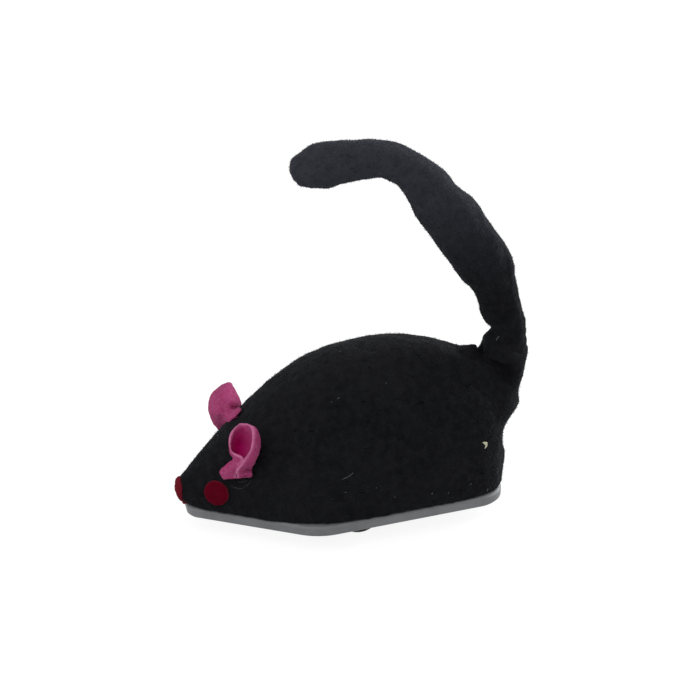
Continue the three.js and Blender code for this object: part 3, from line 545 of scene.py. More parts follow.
# Where the rump's cloth is gathered, in front of the tail, beside it and behind.
GATHERS = [
    (0.0298, -0.0002, 0.0400, 0.0036, 0.0016),
    (0.0314, -0.0002, 0.0394, 0.0024, 0.0014),
    (0.0331, -0.0005, 0.0398, 0.0022, -0.0019),
    (0.0252, -0.0003, 0.0413, 0.0055, -0.0006),
    (0.0344, -0.0038, 0.0392, 0.0026, -0.0010),
    (0.0357, -0.0047, 0.0381, 0.0034, -0.0018),
    (0.0372, -0.0056, 0.0366, 0.0036, -0.0017),
    (0.0386, -0.0063, 0.0347, 0.0038, -0.0009),
    (0.0322, -0.0062, 0.0355, 0.0045, 0.0007),
    (0.0388, -0.0050, 0.0398, 0.0030, 0.0005),
    (0.0356, 0.0052, 0.0378, 0.0036, -0.0011),
    (0.0378, 0.0062, 0.0352, 0.0040, -0.0009),
    (0.0325, 0.0068, 0.0352, 0.0045, 0.0006),
    (0.0448, -0.0010, 0.0395, 0.0050, 0.0004),
    (0.0430, -0.0020, 0.0292, 0.0040, -0.0005),
    (0.0422, -0.0020, 0.0255, 0.0040, 0.0004),
    (0.0395, -0.0030, 0.0178, 0.0080, -0.00085),
    (0.0390, -0.0030, 0.0103, 0.0050, 0.0004),
]

STATIONS, ARC, BOTTOM = 160, 96, 24
body_rings = []
for i in range(STATIONS + 1):
    place = (len(SKIN) - 1) * i / STATIONS
    low = smooth(SKIN, place)[2]
    hem_z = PLATE_TOP + low * HEIGHT + HEM_CLEAR
    ring = [skin(place, math.pi * j / ARC) for j in range(ARC + 1)]
    for p in ring:
        p.z = max(p.z, hem_z)
    for j in range(1, BOTTOM):
        ring.append(ring[ARC].lerp(ring[0], j / BOTTOM))
    body_rings.append(ring[::-1])
bare_body = shell("bare_body", body_rings, True, (True, True))
bare_rump = shell("bare_rump", limb_rings(RUMP, 60, 72, 0), True, (True, True))
skins = [surface_of(bare_body), surface_of(bare_rump)]
body = joined("mouse_body_cloth", bare_body, bare_rump)
remesh = body.modifiers.new("one skin", "REMESH")
remesh.mode = "VOXEL"
remesh.voxel_size = 0.0005
settle(body)
body.data.shade_smooth()

# The cloth bridges the crease where the rump rises from the body.
WEB, CREASE_Z = 0.0035, 0.015
crease = body.vertex_groups.new(name="crease")
for v in body.data.vertices:
    far = max(surface.find_nearest(v.co)[3] for surface in skins)
    if far < WEB and v.co.z > CREASE_Z:
        crease.add([v.index], 1 - far / WEB, "REPLACE")
soften(body, 45, "crease")
soften(body, 2)
gather(body, GATHERS)
rumple(body, [(0.009, 0.0003), (0.0028, 0.00016), (0.0011, 0.00007)], 3.1)
open_under(body, body_rings)

# Painted shade: the cloth's colour is darkened in the deepest gathers, where little light reaches them.
DEEP, FOLD_SHADE_REACH = -0.0009, 0.0036
fold_shade = body.data.attributes.new("fold_shade", "FLOAT", "POINT")
valley = [Vector(spot[:3]) for spot in GATHERS if spot[4] <= DEEP]
for v in body.data.vertices:
    far = min((v.co - spot).length for spot in valley)
    fold_shade.data[v.index].value = min(max(1 - far / FOLD_SHADE_REACH, 0), 1)
outside = body.copy()
outside.data = body.data.copy()
thicken(body, CLOTH, -1)
cloth_skin = surface_of(body)

terry, given, result = effect(
    "terry pile",
    [
        ("Place", VECTOR, None),
        ("Yarn", COLOR, (0.01, 0.01, 0.01, 1)),
        ("Tip", COLOR, (0.02, 0.02, 0.02, 1)),
        ("Top Highlight", COLOR, (0.04, 0.04, 0.04, 1)),
        ("Lint", COLOR, (0.2, 0.2, 0.2, 1)),
        ("Loop Size", FLOAT, 0.0005),
        ("Top Highlight From", FLOAT, 0.0),
        ("Top Highlight To", FLOAT, 1.0),
        ("Fold Shade", FLOAT, 0.0),
    ],
    SURFACE,
)
# The loops of yarn, which sway, stand in clumps and part here and there.
loop_scale = sums(terry, "DIVIDE", 1.0, given.outputs["Loop Size"])
swayed = put(
    terry,
    "ShaderNodeTexNoise",
    {"Vector": given.outputs["Place"], "Scale": 700.0, "Detail": 2.0},
).outputs["Color"]
sway = put(terry, "ShaderNodeVectorMath", {0: swayed, 3: 0.0006}, operation="SCALE").outputs[0]
moved = put(
    terry,
    "ShaderNodeVectorMath",
    {0: given.outputs["Place"], 1: sway},
    operation="ADD",
).outputs[0]
loops = put(terry, "ShaderNodeTexVoronoi", {"Vector": moved, "Scale": loop_scale}).outputs["Distance"]
loop_top = ranged(terry, loops, 0.1, 0.75, 1.0, 0.0)
clumps = cloud(terry, given.outputs["Place"], 0.0019, 3, 0.5)
areas = cloud(terry, given.outputs["Place"], 0.012, 3, 0.55)
combed = put(
    terry,
    "ShaderNodeVectorMath",
    {0: given.outputs["Place"], 1: (0.38, 1.0, 1.3)},
    operation="MULTIPLY",
).outputs[0]
partings = ranged(terry, cloud(terry, combed, 0.0009, 2, 0.5, 0.6), 0.66, 0.76)

# The colour from the foot of the loops to their tips, worn in broad areas, with a painted
# highlight towards the top, flecks of lint, and painted shade in the deepest folds.
tip_share = sums(
    terry,
    "MULTIPLY",
    ranged(terry, loop_top, 0.0, 1.0, 0.45, 1.0),
    ranged(terry, clumps, 0.25, 0.75),
)
pile_colour = blended(terry, tip_share, given.outputs["Yarn"], given.outputs["Tip"])
wear = ranged(terry, areas, 0.35, 0.68, 0.0, 0.35)
worn_colour = blended(terry, wear, pile_colour, given.outputs["Tip"])
parting_share = sums(terry, "MULTIPLY", partings, 0.75)
parted_colour = blended(terry, parting_share, worn_colour, (0.001, 0.001, 0.0012, 1))
# Painted highlight: the pile's colour is lightened towards the top, for the light falling from above.
height_up = put(terry, "ShaderNodeSeparateXYZ", {0: given.outputs["Place"]}).outputs[2]
top_highlight = ranged(terry, height_up, given.outputs["Top Highlight From"], given.outputs["Top Highlight To"])
top_highlight = sums(terry, "MULTIPLY", top_highlight, ranged(terry, clumps, 0.2, 0.7, 0.72, 1.0))
top_lit_colour = blended(terry, top_highlight, parted_colour, given.outputs["Top Highlight"])
fleck = put(terry, "ShaderNodeTexVoronoi", {"Vector": given.outputs["Place"], "Scale": 330.0})
fleck_cell = put(terry, "ShaderNodeSeparateColor", {0: fleck.outputs["Color"]}).outputs[0]
near_fleck = sums(terry, "LESS_THAN", fleck.outputs["Distance"], 0.075)
flecks = sums(terry, "MULTIPLY", near_fleck, ranged(terry, fleck_cell, 0.9, 0.97))
flecked = blended(terry, sums(terry, "MULTIPLY", flecks, 0.4), top_lit_colour, given.outputs["Lint"])
# Painted shade in the deepest gathers.
fold_shade_share = sums(terry, "MULTIPLY", given.outputs["Fold Shade"], ranged(terry, clumps, 0.2, 0.7, 0.9, 0.6))
shown = blended(terry, fold_shade_share, flecked, (0.0012, 0.0012, 0.0015, 1))
terry.links.new(shown, result.inputs["Color"])
terry.links.new(ranged(terry, clumps, 0.3, 0.7, 0.98, 0.86), result.inputs["Roughness"])
loop_relief = sums(terry, "MULTIPLY", loop_top, 0.35)
pile_relief = sums(terry, "ADD", loop_relief, sums(terry, "MULTIPLY", clumps, 1.6))
pile_relief = sums(terry, "SUBTRACT", pile_relief, sums(terry, "MULTIPLY", partings, 0.8))
terry.links.new(pile_relief, result.inputs["Height"])

TERRY_RELIEF = 0.00032
TERRY_LOOK = {
    "Specular IOR Level": 0.03,
    "Sheen Weight": 0.04,
    "Sheen Roughness": 0.4,
    "Sheen Tint": (0.8, 0.86, 1.0, 1),
}
PILE_TALL = 0.00042
PILE_THIN, PILE_THICK = 0.000025, 0.00004


def fibres(name, source, faces, count, seed):
    """Short bent fibres of the pile, standing on these faces of a cloth."""
    draw = random.Random(seed)
    points, sides = [], []
    for face in draw.choices(faces, [f.area for f in faces], k=count):
        corners = [source.data.vertices[k].co for k in face.vertices]
        a, b = draw.random(), draw.random()
        foot = corners[0].lerp(corners[1], a).lerp(corners[-1].lerp(corners[-2], a), b)
        n = face.normal
        lean = Vector([draw.uniform(-1, 1) for _ in range(3)]).cross(n).normalized()
        side = lean.cross(n)
        rise, run = PILE_TALL * draw.uniform(0.5, 1.0), PILE_TALL * draw.uniform(0.2, 0.9)
        thin = draw.uniform(PILE_THIN, PILE_THICK)
        start = len(points)
        for up, out, wide in ((-0.25, 0, 1), (0.45, 0.12, 1), (0.85, 0.5, 0.7)):
            middle = foot + n * rise * up + lean * run * out
            points.append(middle + side * thin * wide)
            points.append(middle + (lean - side) * thin * wide * 0.7)
            points.append(middle - (lean + side) * thin * wide * 0.7)
        points.append(foot + n * rise + lean * run)
        for k in (0, 3):
            for j in range(3):
                i, m = start + k + j, start + k + (j + 1) % 3
                sides.append((i, m, m + 3, i + 3))
        sides += [(start + 6 + j, start + 6 + (j + 1) % 3, start + 9) for j in range(3)]
    return made_piece(name, points, sides)


# The body's pile gets a painted highlight on its top and painted shade in its deepest gathers.
terry_cloth = finish_of(
    "terry_cloth_black",
    terry,
    {
        "Yarn": (0.0062, 0.0064, 0.0074, 1),
        "Tip": (0.0135, 0.0138, 0.0155, 1),
        "Top Highlight": (0.02, 0.02, 0.02, 1),
        "Lint": (0.16, 0.16, 0.17, 1),
        "Loop Size": 0.0005,
        "Top Highlight From": 0.03,
        "Top Highlight To": 0.07,
    },
    TERRY_RELIEF,
    TERRY_LOOK,
    marks={"Fold Shade": "fold_shade"},
)
body.data.materials.append(terry_cloth)
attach(body, "chassis")
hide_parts("body_cover")

PILE_FROM = 0.0075
above = [f for f in outside.data.polygons if f.center.z > PILE_FROM]
body_pile = fibres("mouse_body_pile", outside, above, 11000, 11)
bpy.data.objects.remove(outside)
body_pile.data.materials.append(terry_cloth)
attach(body_pile, "chassis")


# The tail. A tube of the same terry sewn up, stuffed with loose fibre and
# stitched to the rump, where its cloth crumples; it stands up behind the body
# and hooks forward.
TAIL_X, TAIL_Z = 0.0394076, 0.0424988
REACH, RISE, STOUT = 0.0538, 0.049, 0.00695
# The hook's places from the root to the tip: how far forward, how far up and how
# stout, each as a share of the tail's size.
HOOK = [
    (0, 0, 0.777),
    (0.005, 0.122, 0.71),
    (0.035, 0.218, 0.74),
    (0.083, 0.329, 0.815),
    (0.153, 0.49, 1.01),
    (0.243, 0.625, 1.01),
    (0.327, 0.747, 0.935),
    (0.398, 0.847, 0.828),
    (0.49, 0.942, 0.685),
    (0.6, 0.998, 0.66),
    (0.734, 1.001, 0.705),
    (0.862, 0.988, 0.78),
    (0.94, 0.972, 0.695),
    (0.984, 0.953, 0.46),
    (1, 0.945, 0.15),
]
limb = [(TAIL_X - f * REACH, TAIL_Z + u * RISE, r * STOUT) for f, u, r in HOOK]
tail_root = [(0.0386, 0.0375, 0.0051), (0.0391, 0.0398, 0.0053)]

# Where the tail's stuffing stands out or is drawn in.
LUMPS = [
    (0.0346, 0.0, 0.0739, 0.0050, -0.00075),
    (0.0365, 0.0, 0.0704, 0.0040, -0.00060),
    (0.0399, 0.0, 0.0638, 0.0045, 0.00080),
    (0.0409, 0.0, 0.0605, 0.0040, 0.00035),
    (0.0425, 0.0, 0.0532, 0.0050, -0.00050),
    (0.0435, 0.0, 0.0496, 0.0030, -0.00035),
    (0.0274, 0.0, 0.0826, 0.0040, -0.00040),
    (0.0253, 0.0, 0.0848, 0.0040, -0.00040),
    (0.0080, 0.0, 0.0857, 0.0050, -0.00035),
    (0.0112, 0.0, 0.0832, 0.0040, -0.00055),
    (0.0129, 0.0, 0.0811, 0.0040, -0.00030),
    (0.0141, 0.0, 0.0787, 0.0040, -0.00030),
    (0.0272, 0.0, 0.0600, 0.0040, 0.00030),
    (0.0301, 0.0, 0.0555, 0.0040, -0.00050),
    (0.0338, 0.0, 0.0487, 0.0035, 0.00080),
    (0.0345, 0.0, 0.0423, 0.0028, 0.00075),
    (-0.0144, 0.0, 0.0939, 0.0050, -0.00045),
    (-0.0143, 0.0, 0.0882, 0.0050, -0.00030),
    (-0.0116, 0.0, 0.0958, 0.0040, -0.00050),
    (-0.0093, 0.0, 0.0851, 0.0040, -0.00050),
]
tail = shell("mouse_tail_cloth", limb_rings(tail_root + limb, 230, 72, 0), True, (True, True))
rumple(tail, [(0.011, 0.0002), (0.0035, 0.00018), (0.0012, 0.00008)], 8.4)

# The seam draws the cloth in all round at one height, most of all in front, and
# bunches it into small folds.
PINCH_Z, PINCH_OVER, PINCH_UNDER = 0.0447, 0.0020, 0.0026
BUNCH_Z, BUNCH, FOLD = 0.0445, 0.003, 0.0001
HOOK_FROM = 0.025
outward = [v.normal.copy() for v in tail.data.vertices]
for v, n in zip(tail.data.vertices, outward):
    if v.co.x > HOOK_FROM:
        ahead = max(min((TAIL_X - v.co.x) / 0.005, 1), -1)
        over = v.co.z - PINCH_Z
        nearness = math.exp(-((over / (PINCH_OVER if over > 0 else PINCH_UNDER)) ** 2))
        pinch = nearness * max(0.0002, 0.0006 + 0.0010 * ahead)
        bunch = math.exp(-(((v.co.z - BUNCH_Z) / BUNCH) ** 2))
        fold = math.sin(v.co.z * 2300 + v.co.y * 260 + 3 * noise.noise(v.co * 240))
        v.co += n * (FOLD * bunch * fold - pinch)
tail.data.update()
gather(tail, LUMPS)
# A lighter, bluer copy of the body's terry: the tail's top gets a stronger painted highlight, for the
# light falling on it from above.
terry_tail = finish_of(
    "terry_cloth_black_top_lit",
    terry,
    {
        "Yarn": (0.0062, 0.0064, 0.0076, 1),
        "Tip": (0.0135, 0.0138, 0.0165, 1),
        "Top Highlight": (0.037, 0.0405, 0.05, 1),
        "Lint": (0.16, 0.16, 0.17, 1),
        "Loop Size": 0.0005,
        "Top Highlight From": 0.054,
        "Top Highlight To": 0.096,
    },
    TERRY_RELIEF,
    TERRY_LOOK,
)
tail.data.materials.append(terry_tail)
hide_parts("tail_cover")
outer = [f for f in tail.data.polygons if f.center.z > 0.044]
tail_pile = fibres("mouse_tail_pile", tail, outer, 6000, 12)
tail_pile.data.materials.append(terry_tail)
for piece in (tail, tail_pile):
    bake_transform(piece)

# The stuffing fills the tube and stops short of its closed tip and of its seam.
COVER = 0.0018
stuffed = [(TAIL_X, 0.0438, 0.0046)] + limb[1:-1]
stuffing = shell("mouse_tail_fibre", limb_rings(stuffed, 120, 40, COVER), True, (True, True))
rumple(stuffing, [(0.004, 0.0004), (0.0012, 0.0002)], 5.7)
fibre, given, result = effect(
    "loose fibre",
    [
        ("Place", VECTOR, None),
        ("Fibre", COLOR, (0.7, 0.7, 0.7, 1)),
        ("Shade", COLOR, (0.5, 0.5, 0.5, 1)),
    ],
    SURFACE,
)
strands = cloud(fibre, given.outputs["Place"], 0.0008, 5, 0.7, 2.5)
lit = ranged(fibre, strands, 0.35, 0.65)
strand_colour = blended(fibre, lit, given.outputs["Shade"], given.outputs["Fibre"])
fibre.links.new(strand_colour, result.inputs["Color"])
fibre.links.new(ranged(fibre, strands, 0.3, 0.7, 0.95, 0.8), result.inputs["Roughness"])
fibre.links.new(strands, result.inputs["Height"])
fibre_fill = finish_of(
    "fibre_fill_white",
    fibre,
    {"Fibre": (0.78, 0.78, 0.76, 1), "Shade": (0.5, 0.5, 0.48, 1)},
    0.0003,
    {"Specular IOR Level": 0.1},
)
stuffing.data.materials.append(fibre_fill)
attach(stuffing, "tail")
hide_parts("tail_stuffing")


# The ears. Each is a petal of pink craft felt about a millimetre thick, rolled
# into a cup with its root pinched and sewn through the cloth, so that it opens
# outwards and one corner lies flared on the skin.
felt, given, result = effect(
    "matted felt",
    [
        ("Place", VECTOR, None),
        ("Wool", COLOR, (0.4, 0.1, 0.2, 1)),
        ("Nap", COLOR, (0.6, 0.2, 0.3, 1)),
        ("Fibre Size", FLOAT, 0.0003),
        ("Cup Shade Colour", COLOR, (0.4, 0.0, 0.1, 1)),
        ("Rim Colour", COLOR, (0.7, 0.3, 0.4, 1)),
        ("Cup Shade", FLOAT, 0.0),
        ("Rim Share", FLOAT, 0.0),
    ],
    SURFACE,
)
matting = cloud(felt, given.outputs["Place"], given.outputs["Fibre Size"], 4.0, 0.65, 1.8)
thin_places = cloud(felt, given.outputs["Place"], 0.0016, 3, 0.6)
nap_share = sums(
    felt,
    "MULTIPLY",
    ranged(felt, matting, 0.42, 0.68),
    ranged(felt, thin_places, 0.3, 0.7, 0.35, 1.0),
)
# Painted shade and bounced light in the ear's cup: the nap is left out there and the colour turns
# deeper and redder.
nap_outside_cup_shade = sums(felt, "MULTIPLY", nap_share, sums(felt, "SUBTRACT", 1.0, given.outputs["Cup Shade"]))
napped = blended(felt, nap_outside_cup_shade, given.outputs["Wool"], given.outputs["Nap"])
cup_shaded_colour = blended(felt, given.outputs["Cup Shade"], napped, given.outputs["Cup Shade Colour"])
# The rims take their own colour; on the ears it is paler, partly the cut felt's own fibres and partly a
# painted highlight where the rolled rims catch the light.
edge_share = sums(
    felt,
    "MULTIPLY",
    given.outputs["Rim Share"],
    ranged(felt, matting, 0.3, 0.6, 0.5, 1.0),
)
felt_colour = blended(felt, edge_share, cup_shaded_colour, given.outputs["Rim Colour"])
felt.links.new(felt_colour, result.inputs["Color"])
felt.links.new(ranged(felt, matting, 0.3, 0.7, 0.98, 0.85), result.inputs["Roughness"])
felt_relief = sums(felt, "ADD", matting, sums(felt, "MULTIPLY", thin_places, 0.8))
felt.links.new(felt_relief, result.inputs["Height"])

pink_felt = finish_of(
    "felt_pink",
    felt,
    {
        "Wool": (0.35, 0.035, 0.135, 1),
        "Nap": (0.48, 0.14, 0.27, 1),
        "Fibre Size": 0.0004,
        "Cup Shade Colour": (0.57, 0.004, 0.175, 1),
        "Rim Colour": (0.66, 0.2, 0.38, 1),
    },
    0.00022,
    {
        "Specular IOR Level": 0.03,
        "Sheen Weight": 0.06,
        "Sheen Roughness": 0.45,
        "Sheen Tint": (1.0, 0.5, 0.75, 1),
    },
    marks={"Cup Shade": "cup_shade", "Rim Share": "rim_share"},
)

# The petals' points in millimetres, a row at a time from the cut root to the tip;
# they follow the outlines of the photographed ears.
EAR_LEFT = [
    [
        (-31.1, -11.6, 17.6), (-33.1, -9.9, 16.8), (-32.7, -9.7, 16.4), (-29.8, -11.5, 17.3),
        (-28.0, -13.2, 18.3), (-28.4, -13.7, 19.3), (-30.9, -12.7, 18.1),
    ],
    [
        (-30.9, -12.0, 19.1), (-34.1, -9.2, 18.0), (-32.7, -9.2, 17.5), (-29.5, -11.3, 18.5),
        (-27.8, -12.1, 19.7), (-28.4, -12.1, 20.3), (-31.2, -13.3, 20.1),
    ],
    [
        (-30.4, -13.6, 21.7), (-33.0, -9.6, 19.7), (-31.9, -9.4, 18.9), (-29.2, -11.1, 19.6),
        (-27.3, -13.4, 22.0), (-28.3, -15.1, 23.5), (-30.4, -14.8, 22.5),
    ],
    [
        (-29.7, -14.6, 24.3), (-31.2, -11.0, 22.2), (-30.0, -9.9, 21.0), (-28.1, -11.2, 21.3),
        (-26.7, -13.8, 23.5), (-27.6, -15.9, 25.4), (-29.4, -15.7, 24.9),
    ],
    [
        (-31.8, -11.6, 24.7), (-31.7, -9.9, 23.7), (-29.8, -9.2, 22.5), (-27.7, -10.6, 23.1),
        (-26.1, -13.9, 25.7), (-26.9, -15.8, 27.3), (-28.2, -16.5, 27.4),
    ],
    [
        (-32.2, -10.8, 27.5), (-31.4, -9.1, 26.0), (-29.3, -8.0, 24.7), (-27.5, -9.5, 25.5),
        (-25.9, -13.5, 28.1), (-26.6, -15.5, 29.8), (-27.5, -16.2, 30.2),
    ],
    [
        (-31.2, -10.0, 29.7), (-30.3, -9.0, 28.5), (-28.8, -8.5, 27.6), (-27.5, -10.0, 28.5),
        (-26.5, -13.7, 30.8), (-26.8, -14.7, 31.8), (-27.4, -15.0, 31.9),
    ],
    [
        (-29.8, -10.6, 31.4), (-29.2, -10.4, 31.3), (-28.6, -10.6, 31.4), (-28.1, -11.4, 31.7),
        (-27.7, -12.7, 32.0), (-27.6, -13.6, 32.3), (-27.8, -14.1, 32.4),
    ],
]
EAR_RIGHT = [
    [
        (-31.0, 13.1, 17.7), (-30.8, 11.4, 19.0), (-30.2, 9.2, 20.5), (-29.8, 1.6, 26.1),
        (-28.8, -0.2, 27.9), (-27.8, 0.6, 28.8), (-27.2, 2.7, 28.5),
    ],
    [
        (-32.2, 12.8, 20.0), (-32.1, 9.4, 22.4), (-31.2, 6.6, 24.1), (-30.1, 2.7, 26.7),
        (-28.9, 1.1, 28.2), (-27.7, 1.7, 28.8), (-27.1, 4.6, 27.9),
    ],
    [
        (-32.9, 13.5, 22.4), (-33.2, 9.0, 25.0), (-32.1, 5.5, 26.8), (-30.2, 4.8, 27.7),
        (-28.3, 6.1, 26.7), (-26.9, 6.7, 26.7), (-26.3, 11.2, 25.4),
    ],
    [
        (-32.9, 15.2, 23.5), (-33.2, 10.8, 25.6), (-32.0, 6.6, 28.1), (-29.9, 6.6, 28.8),
        (-28.0, 6.8, 28.3), (-26.3, 9.1, 26.8), (-25.9, 14.1, 24.6),
    ],
    [
        (-31.9, 18.0, 25.2), (-32.0, 14.7, 26.9), (-31.1, 10.6, 29.1), (-29.4, 10.1, 29.6),
        (-27.9, 11.2, 28.9), (-26.6, 14.3, 27.0), (-26.4, 17.9, 25.2),
    ],
    [
        (-29.7, 18.5, 27.1), (-29.7, 16.6, 28.1), (-29.3, 14.4, 29.3), (-28.5, 13.7, 29.7),
        (-27.8, 14.3, 29.2), (-27.2, 15.6, 28.3), (-27.1, 17.4, 27.4),
    ],
    [
        (-28.0, 17.2, 28.8), (-27.9, 16.7, 29.0), (-27.7, 16.3, 29.3), (-27.5, 16.3, 29.3),
        (-27.3, 16.4, 29.1), (-27.1, 16.7, 28.9), (-27.1, 17.0, 28.6),
    ],
]


FELT, TAPER = 0.001, 0.0012
PETAL_LONG, PETAL_WIDE = 60, 72


def ear(name, node, rows):
    """A felt petal through rows of points; its sides and tip thin out to an edge."""
    rings = []
    for i in range(PETAL_LONG + 1):
        flat = [[c for point in row for c in point] for row in rows]
        row = smooth(flat, (len(rows) - 1) * i / PETAL_LONG)
        points = [row[k : k + 3] for k in range(0, len(row), 3)]
        steps = [(len(points) - 1) * j / PETAL_WIDE for j in range(PETAL_WIDE + 1)]
        rings.append([Vector(smooth(points, step)) / 1000 for step in steps])
    piece = shell(name, rings, False)
    rim = [ring[end] for ring in rings for end in (0, PETAL_WIDE)] + rings[-1]
    full = piece.vertex_groups.new(name="full")
    for v in piece.data.vertices:
        full.add([v.index], min(min((v.co - p).length for p in rim) / TAPER, 1), "REPLACE")
    thicken(piece, FELT, 0, "full")

    # Painted shade and bounced light inside the cup: a deeper, redder colour, most of all in
    # its middle. The rim is paler, partly from the cut fibres and partly a painted highlight.
    hollow = sum(rim, Vector()) / len(rim)
    half = len(rings) * len(rings[0])
    facing = [v.normal.dot((hollow - v.co).normalized()) for v in piece.data.vertices]
    inner = 0 if sum(facing[:half]) > sum(facing[half : 2 * half]) else 1
    cup_shade = piece.data.attributes.new("cup_shade", "FLOAT", "POINT")
    rim_share = piece.data.attributes.new("rim_share", "FLOAT", "POINT")
    for v in piece.data.vertices:
        side, spot = divmod(v.index, half)
        up, across = spot // (PETAL_WIDE + 1) / PETAL_LONG, spot % (PETAL_WIDE + 1) / PETAL_WIDE
        if side == inner:
            depth = ((up - 0.66) / 0.28) ** 2 + ((across - 0.3) / 0.24) ** 2
            cup_shade.data[v.index].value = math.exp(-depth)
        # The rim's colour: on the ears a painted highlight on top of the cut felt's paler fibres.
        edge = min((v.co - p).length for p in rim)
        rim_share.data[v.index].value = min(max(1.25 - edge / 0.0006, 0), 1)
    rumple(piece, [(0.0022, 0.0002), (0.0008, 0.0001)], 4.2)
    piece.data.materials.append(pink_felt)
    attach(piece, "chassis")
    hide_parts(node)
    return piece


left_ear = ear("mouse_ear_left", "ear_left", EAR_LEFT)
right_ear = ear("mouse_ear_right", "ear_right", EAR_RIGHT)


# The eyes. Dots of dark red felt punched about six millimetres across and
# glued flat on the cloth, one on each side of the snout.
RED_LOOK = {
    "Specular IOR Level": 0.02,
    "Sheen Weight": 0.02,
    "Sheen Roughness": 0.45,
    "Sheen Tint": (1.0, 0.5, 0.5, 1),
}
red_felt = finish_of(
    "felt_dark_red",
    felt,
    {
        "Wool": (0.085, 0.0008, 0.0075, 1),
        "Nap": (0.14, 0.0025, 0.014, 1),
        "Fibre Size": 0.0004,
        "Rim Colour": (0.17, 0.018, 0.03, 1),
    },
    0.0002,
    RED_LOOK,
    marks={"Rim Share": "rim_share"},
)

# A dot's section from its middle over the edge and back below: how far out, as a
# share of its half width, and how far up, as a share of its depth.
DOT_TOP = [(0.05, 1.0), (0.25, 1.0), (0.5, 0.99), (0.7, 0.96), (0.85, 0.92), (0.94, 0.82), (0.99, 0.6)]
DOT_UNDER = [(1.0, 0.3), (0.99, 0.05), (0.9, -0.1), (0.6, -0.1), (0.05, -0.1)]
PROBE_FROM, PROBE = 0.004, 0.0065


def dot(name, node, middle, normal, half_wide, half_high, depth, grounds, finish):
    """A punched felt disc with a soft edge, bent to lie on what is under it."""
    across = Vector((0, 0, 1)).cross(normal).normalized()
    rise = normal.cross(across).normalized()
    rings = []
    for reach, lift in DOT_TOP + DOT_UNDER:
        ring = []
        for j in range(64):
            turn = math.tau * j / 64
            sideways = across * reach * math.cos(turn) * half_wide
            spot = middle + sideways + rise * reach * math.sin(turn) * half_high
            start = spot + normal * PROBE_FROM
            hits = [ground.ray_cast(start, -normal, PROBE)[3] for ground in grounds]
            back = min([hit for hit in hits if hit is not None] + [PROBE]) - PROBE_FROM
            ring.append(spot + normal * (lift * depth - back))
        rings.append(ring[::-1])
    piece = shell(name, rings, True, (True, True))
    soften(piece, 3)
    swell = piece.modifiers.new("swell", "SUBSURF")
    swell.levels = swell.render_levels = 1
    settle(piece)
    piece.data.shade_smooth()
    rim_share = piece.data.attributes.new("rim_share", "FLOAT", "POINT")
    for v in piece.data.vertices:
        place = v.co - middle
        reach = math.hypot(place.dot(across) / half_wide, place.dot(rise) / half_high)
        rim_share.data[v.index].value = min(max((reach - 0.92) / 0.08, 0), 1)
    rumple(piece, [(0.0016, 0.00013), (0.0006, 0.00006)], 6.3)
    piece.data.materials.append(finish)
    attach(piece, "chassis")
    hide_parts(node)


def seat(place, angle):
    """A point on the body's skin and its outward direction there."""
    along = skin(place + 0.3, angle) - skin(place - 0.3, angle)
    around = skin(place, angle + 0.06) - skin(place, angle - 0.06)
    outward = along.cross(around).normalized()
    return skin(place, angle), outward if outward.z > 0 else -outward


EYE_PLACE = 3.71
for name, angle in (("left", 22.5), ("right", 157.5)):
    middle, outward = seat(EYE_PLACE, math.radians(angle))
    size = (0.0033, 0.0032, 0.001)
    dot(f"mouse_eye_{name}", f"eye_{name}", middle, outward, *size, [cloth_skin], red_felt)


# The nose. An oval of the same dark red felt, moulded damp over the end of the
# snout so that its sides wrap back, and glued to the cloth.
# A lighter copy of the eyes' felt: painted light, for the lamp falling on the end of the snout.
nose_felt = finish_of(
    "felt_dark_red_lit",
    felt,
    {
        "Wool": (0.13, 0.006, 0.013, 1),
        "Nap": (0.19, 0.014, 0.026, 1),
        "Fibre Size": 0.0004,
        "Rim Colour": (0.16, 0.012, 0.022, 1),
    },
    0.0002,
    RED_LOOK,
    marks={"Rim Share": "rim_share"},
)
low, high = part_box("nose")
dot(
    "mouse_nose",
    "nose",
    Vector((low[0] + 0.001, 0, (low[2] + high[2]) / 2 + 0.0003)),
    Vector((-1, 0, 0)),
    (high[1] - low[1]) / 2,
    (high[2] - low[2]) / 2 - 0.0009,
    0.0011,
    [cloth_skin, surface_of(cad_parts["base_plate"])],
    nose_felt,
)


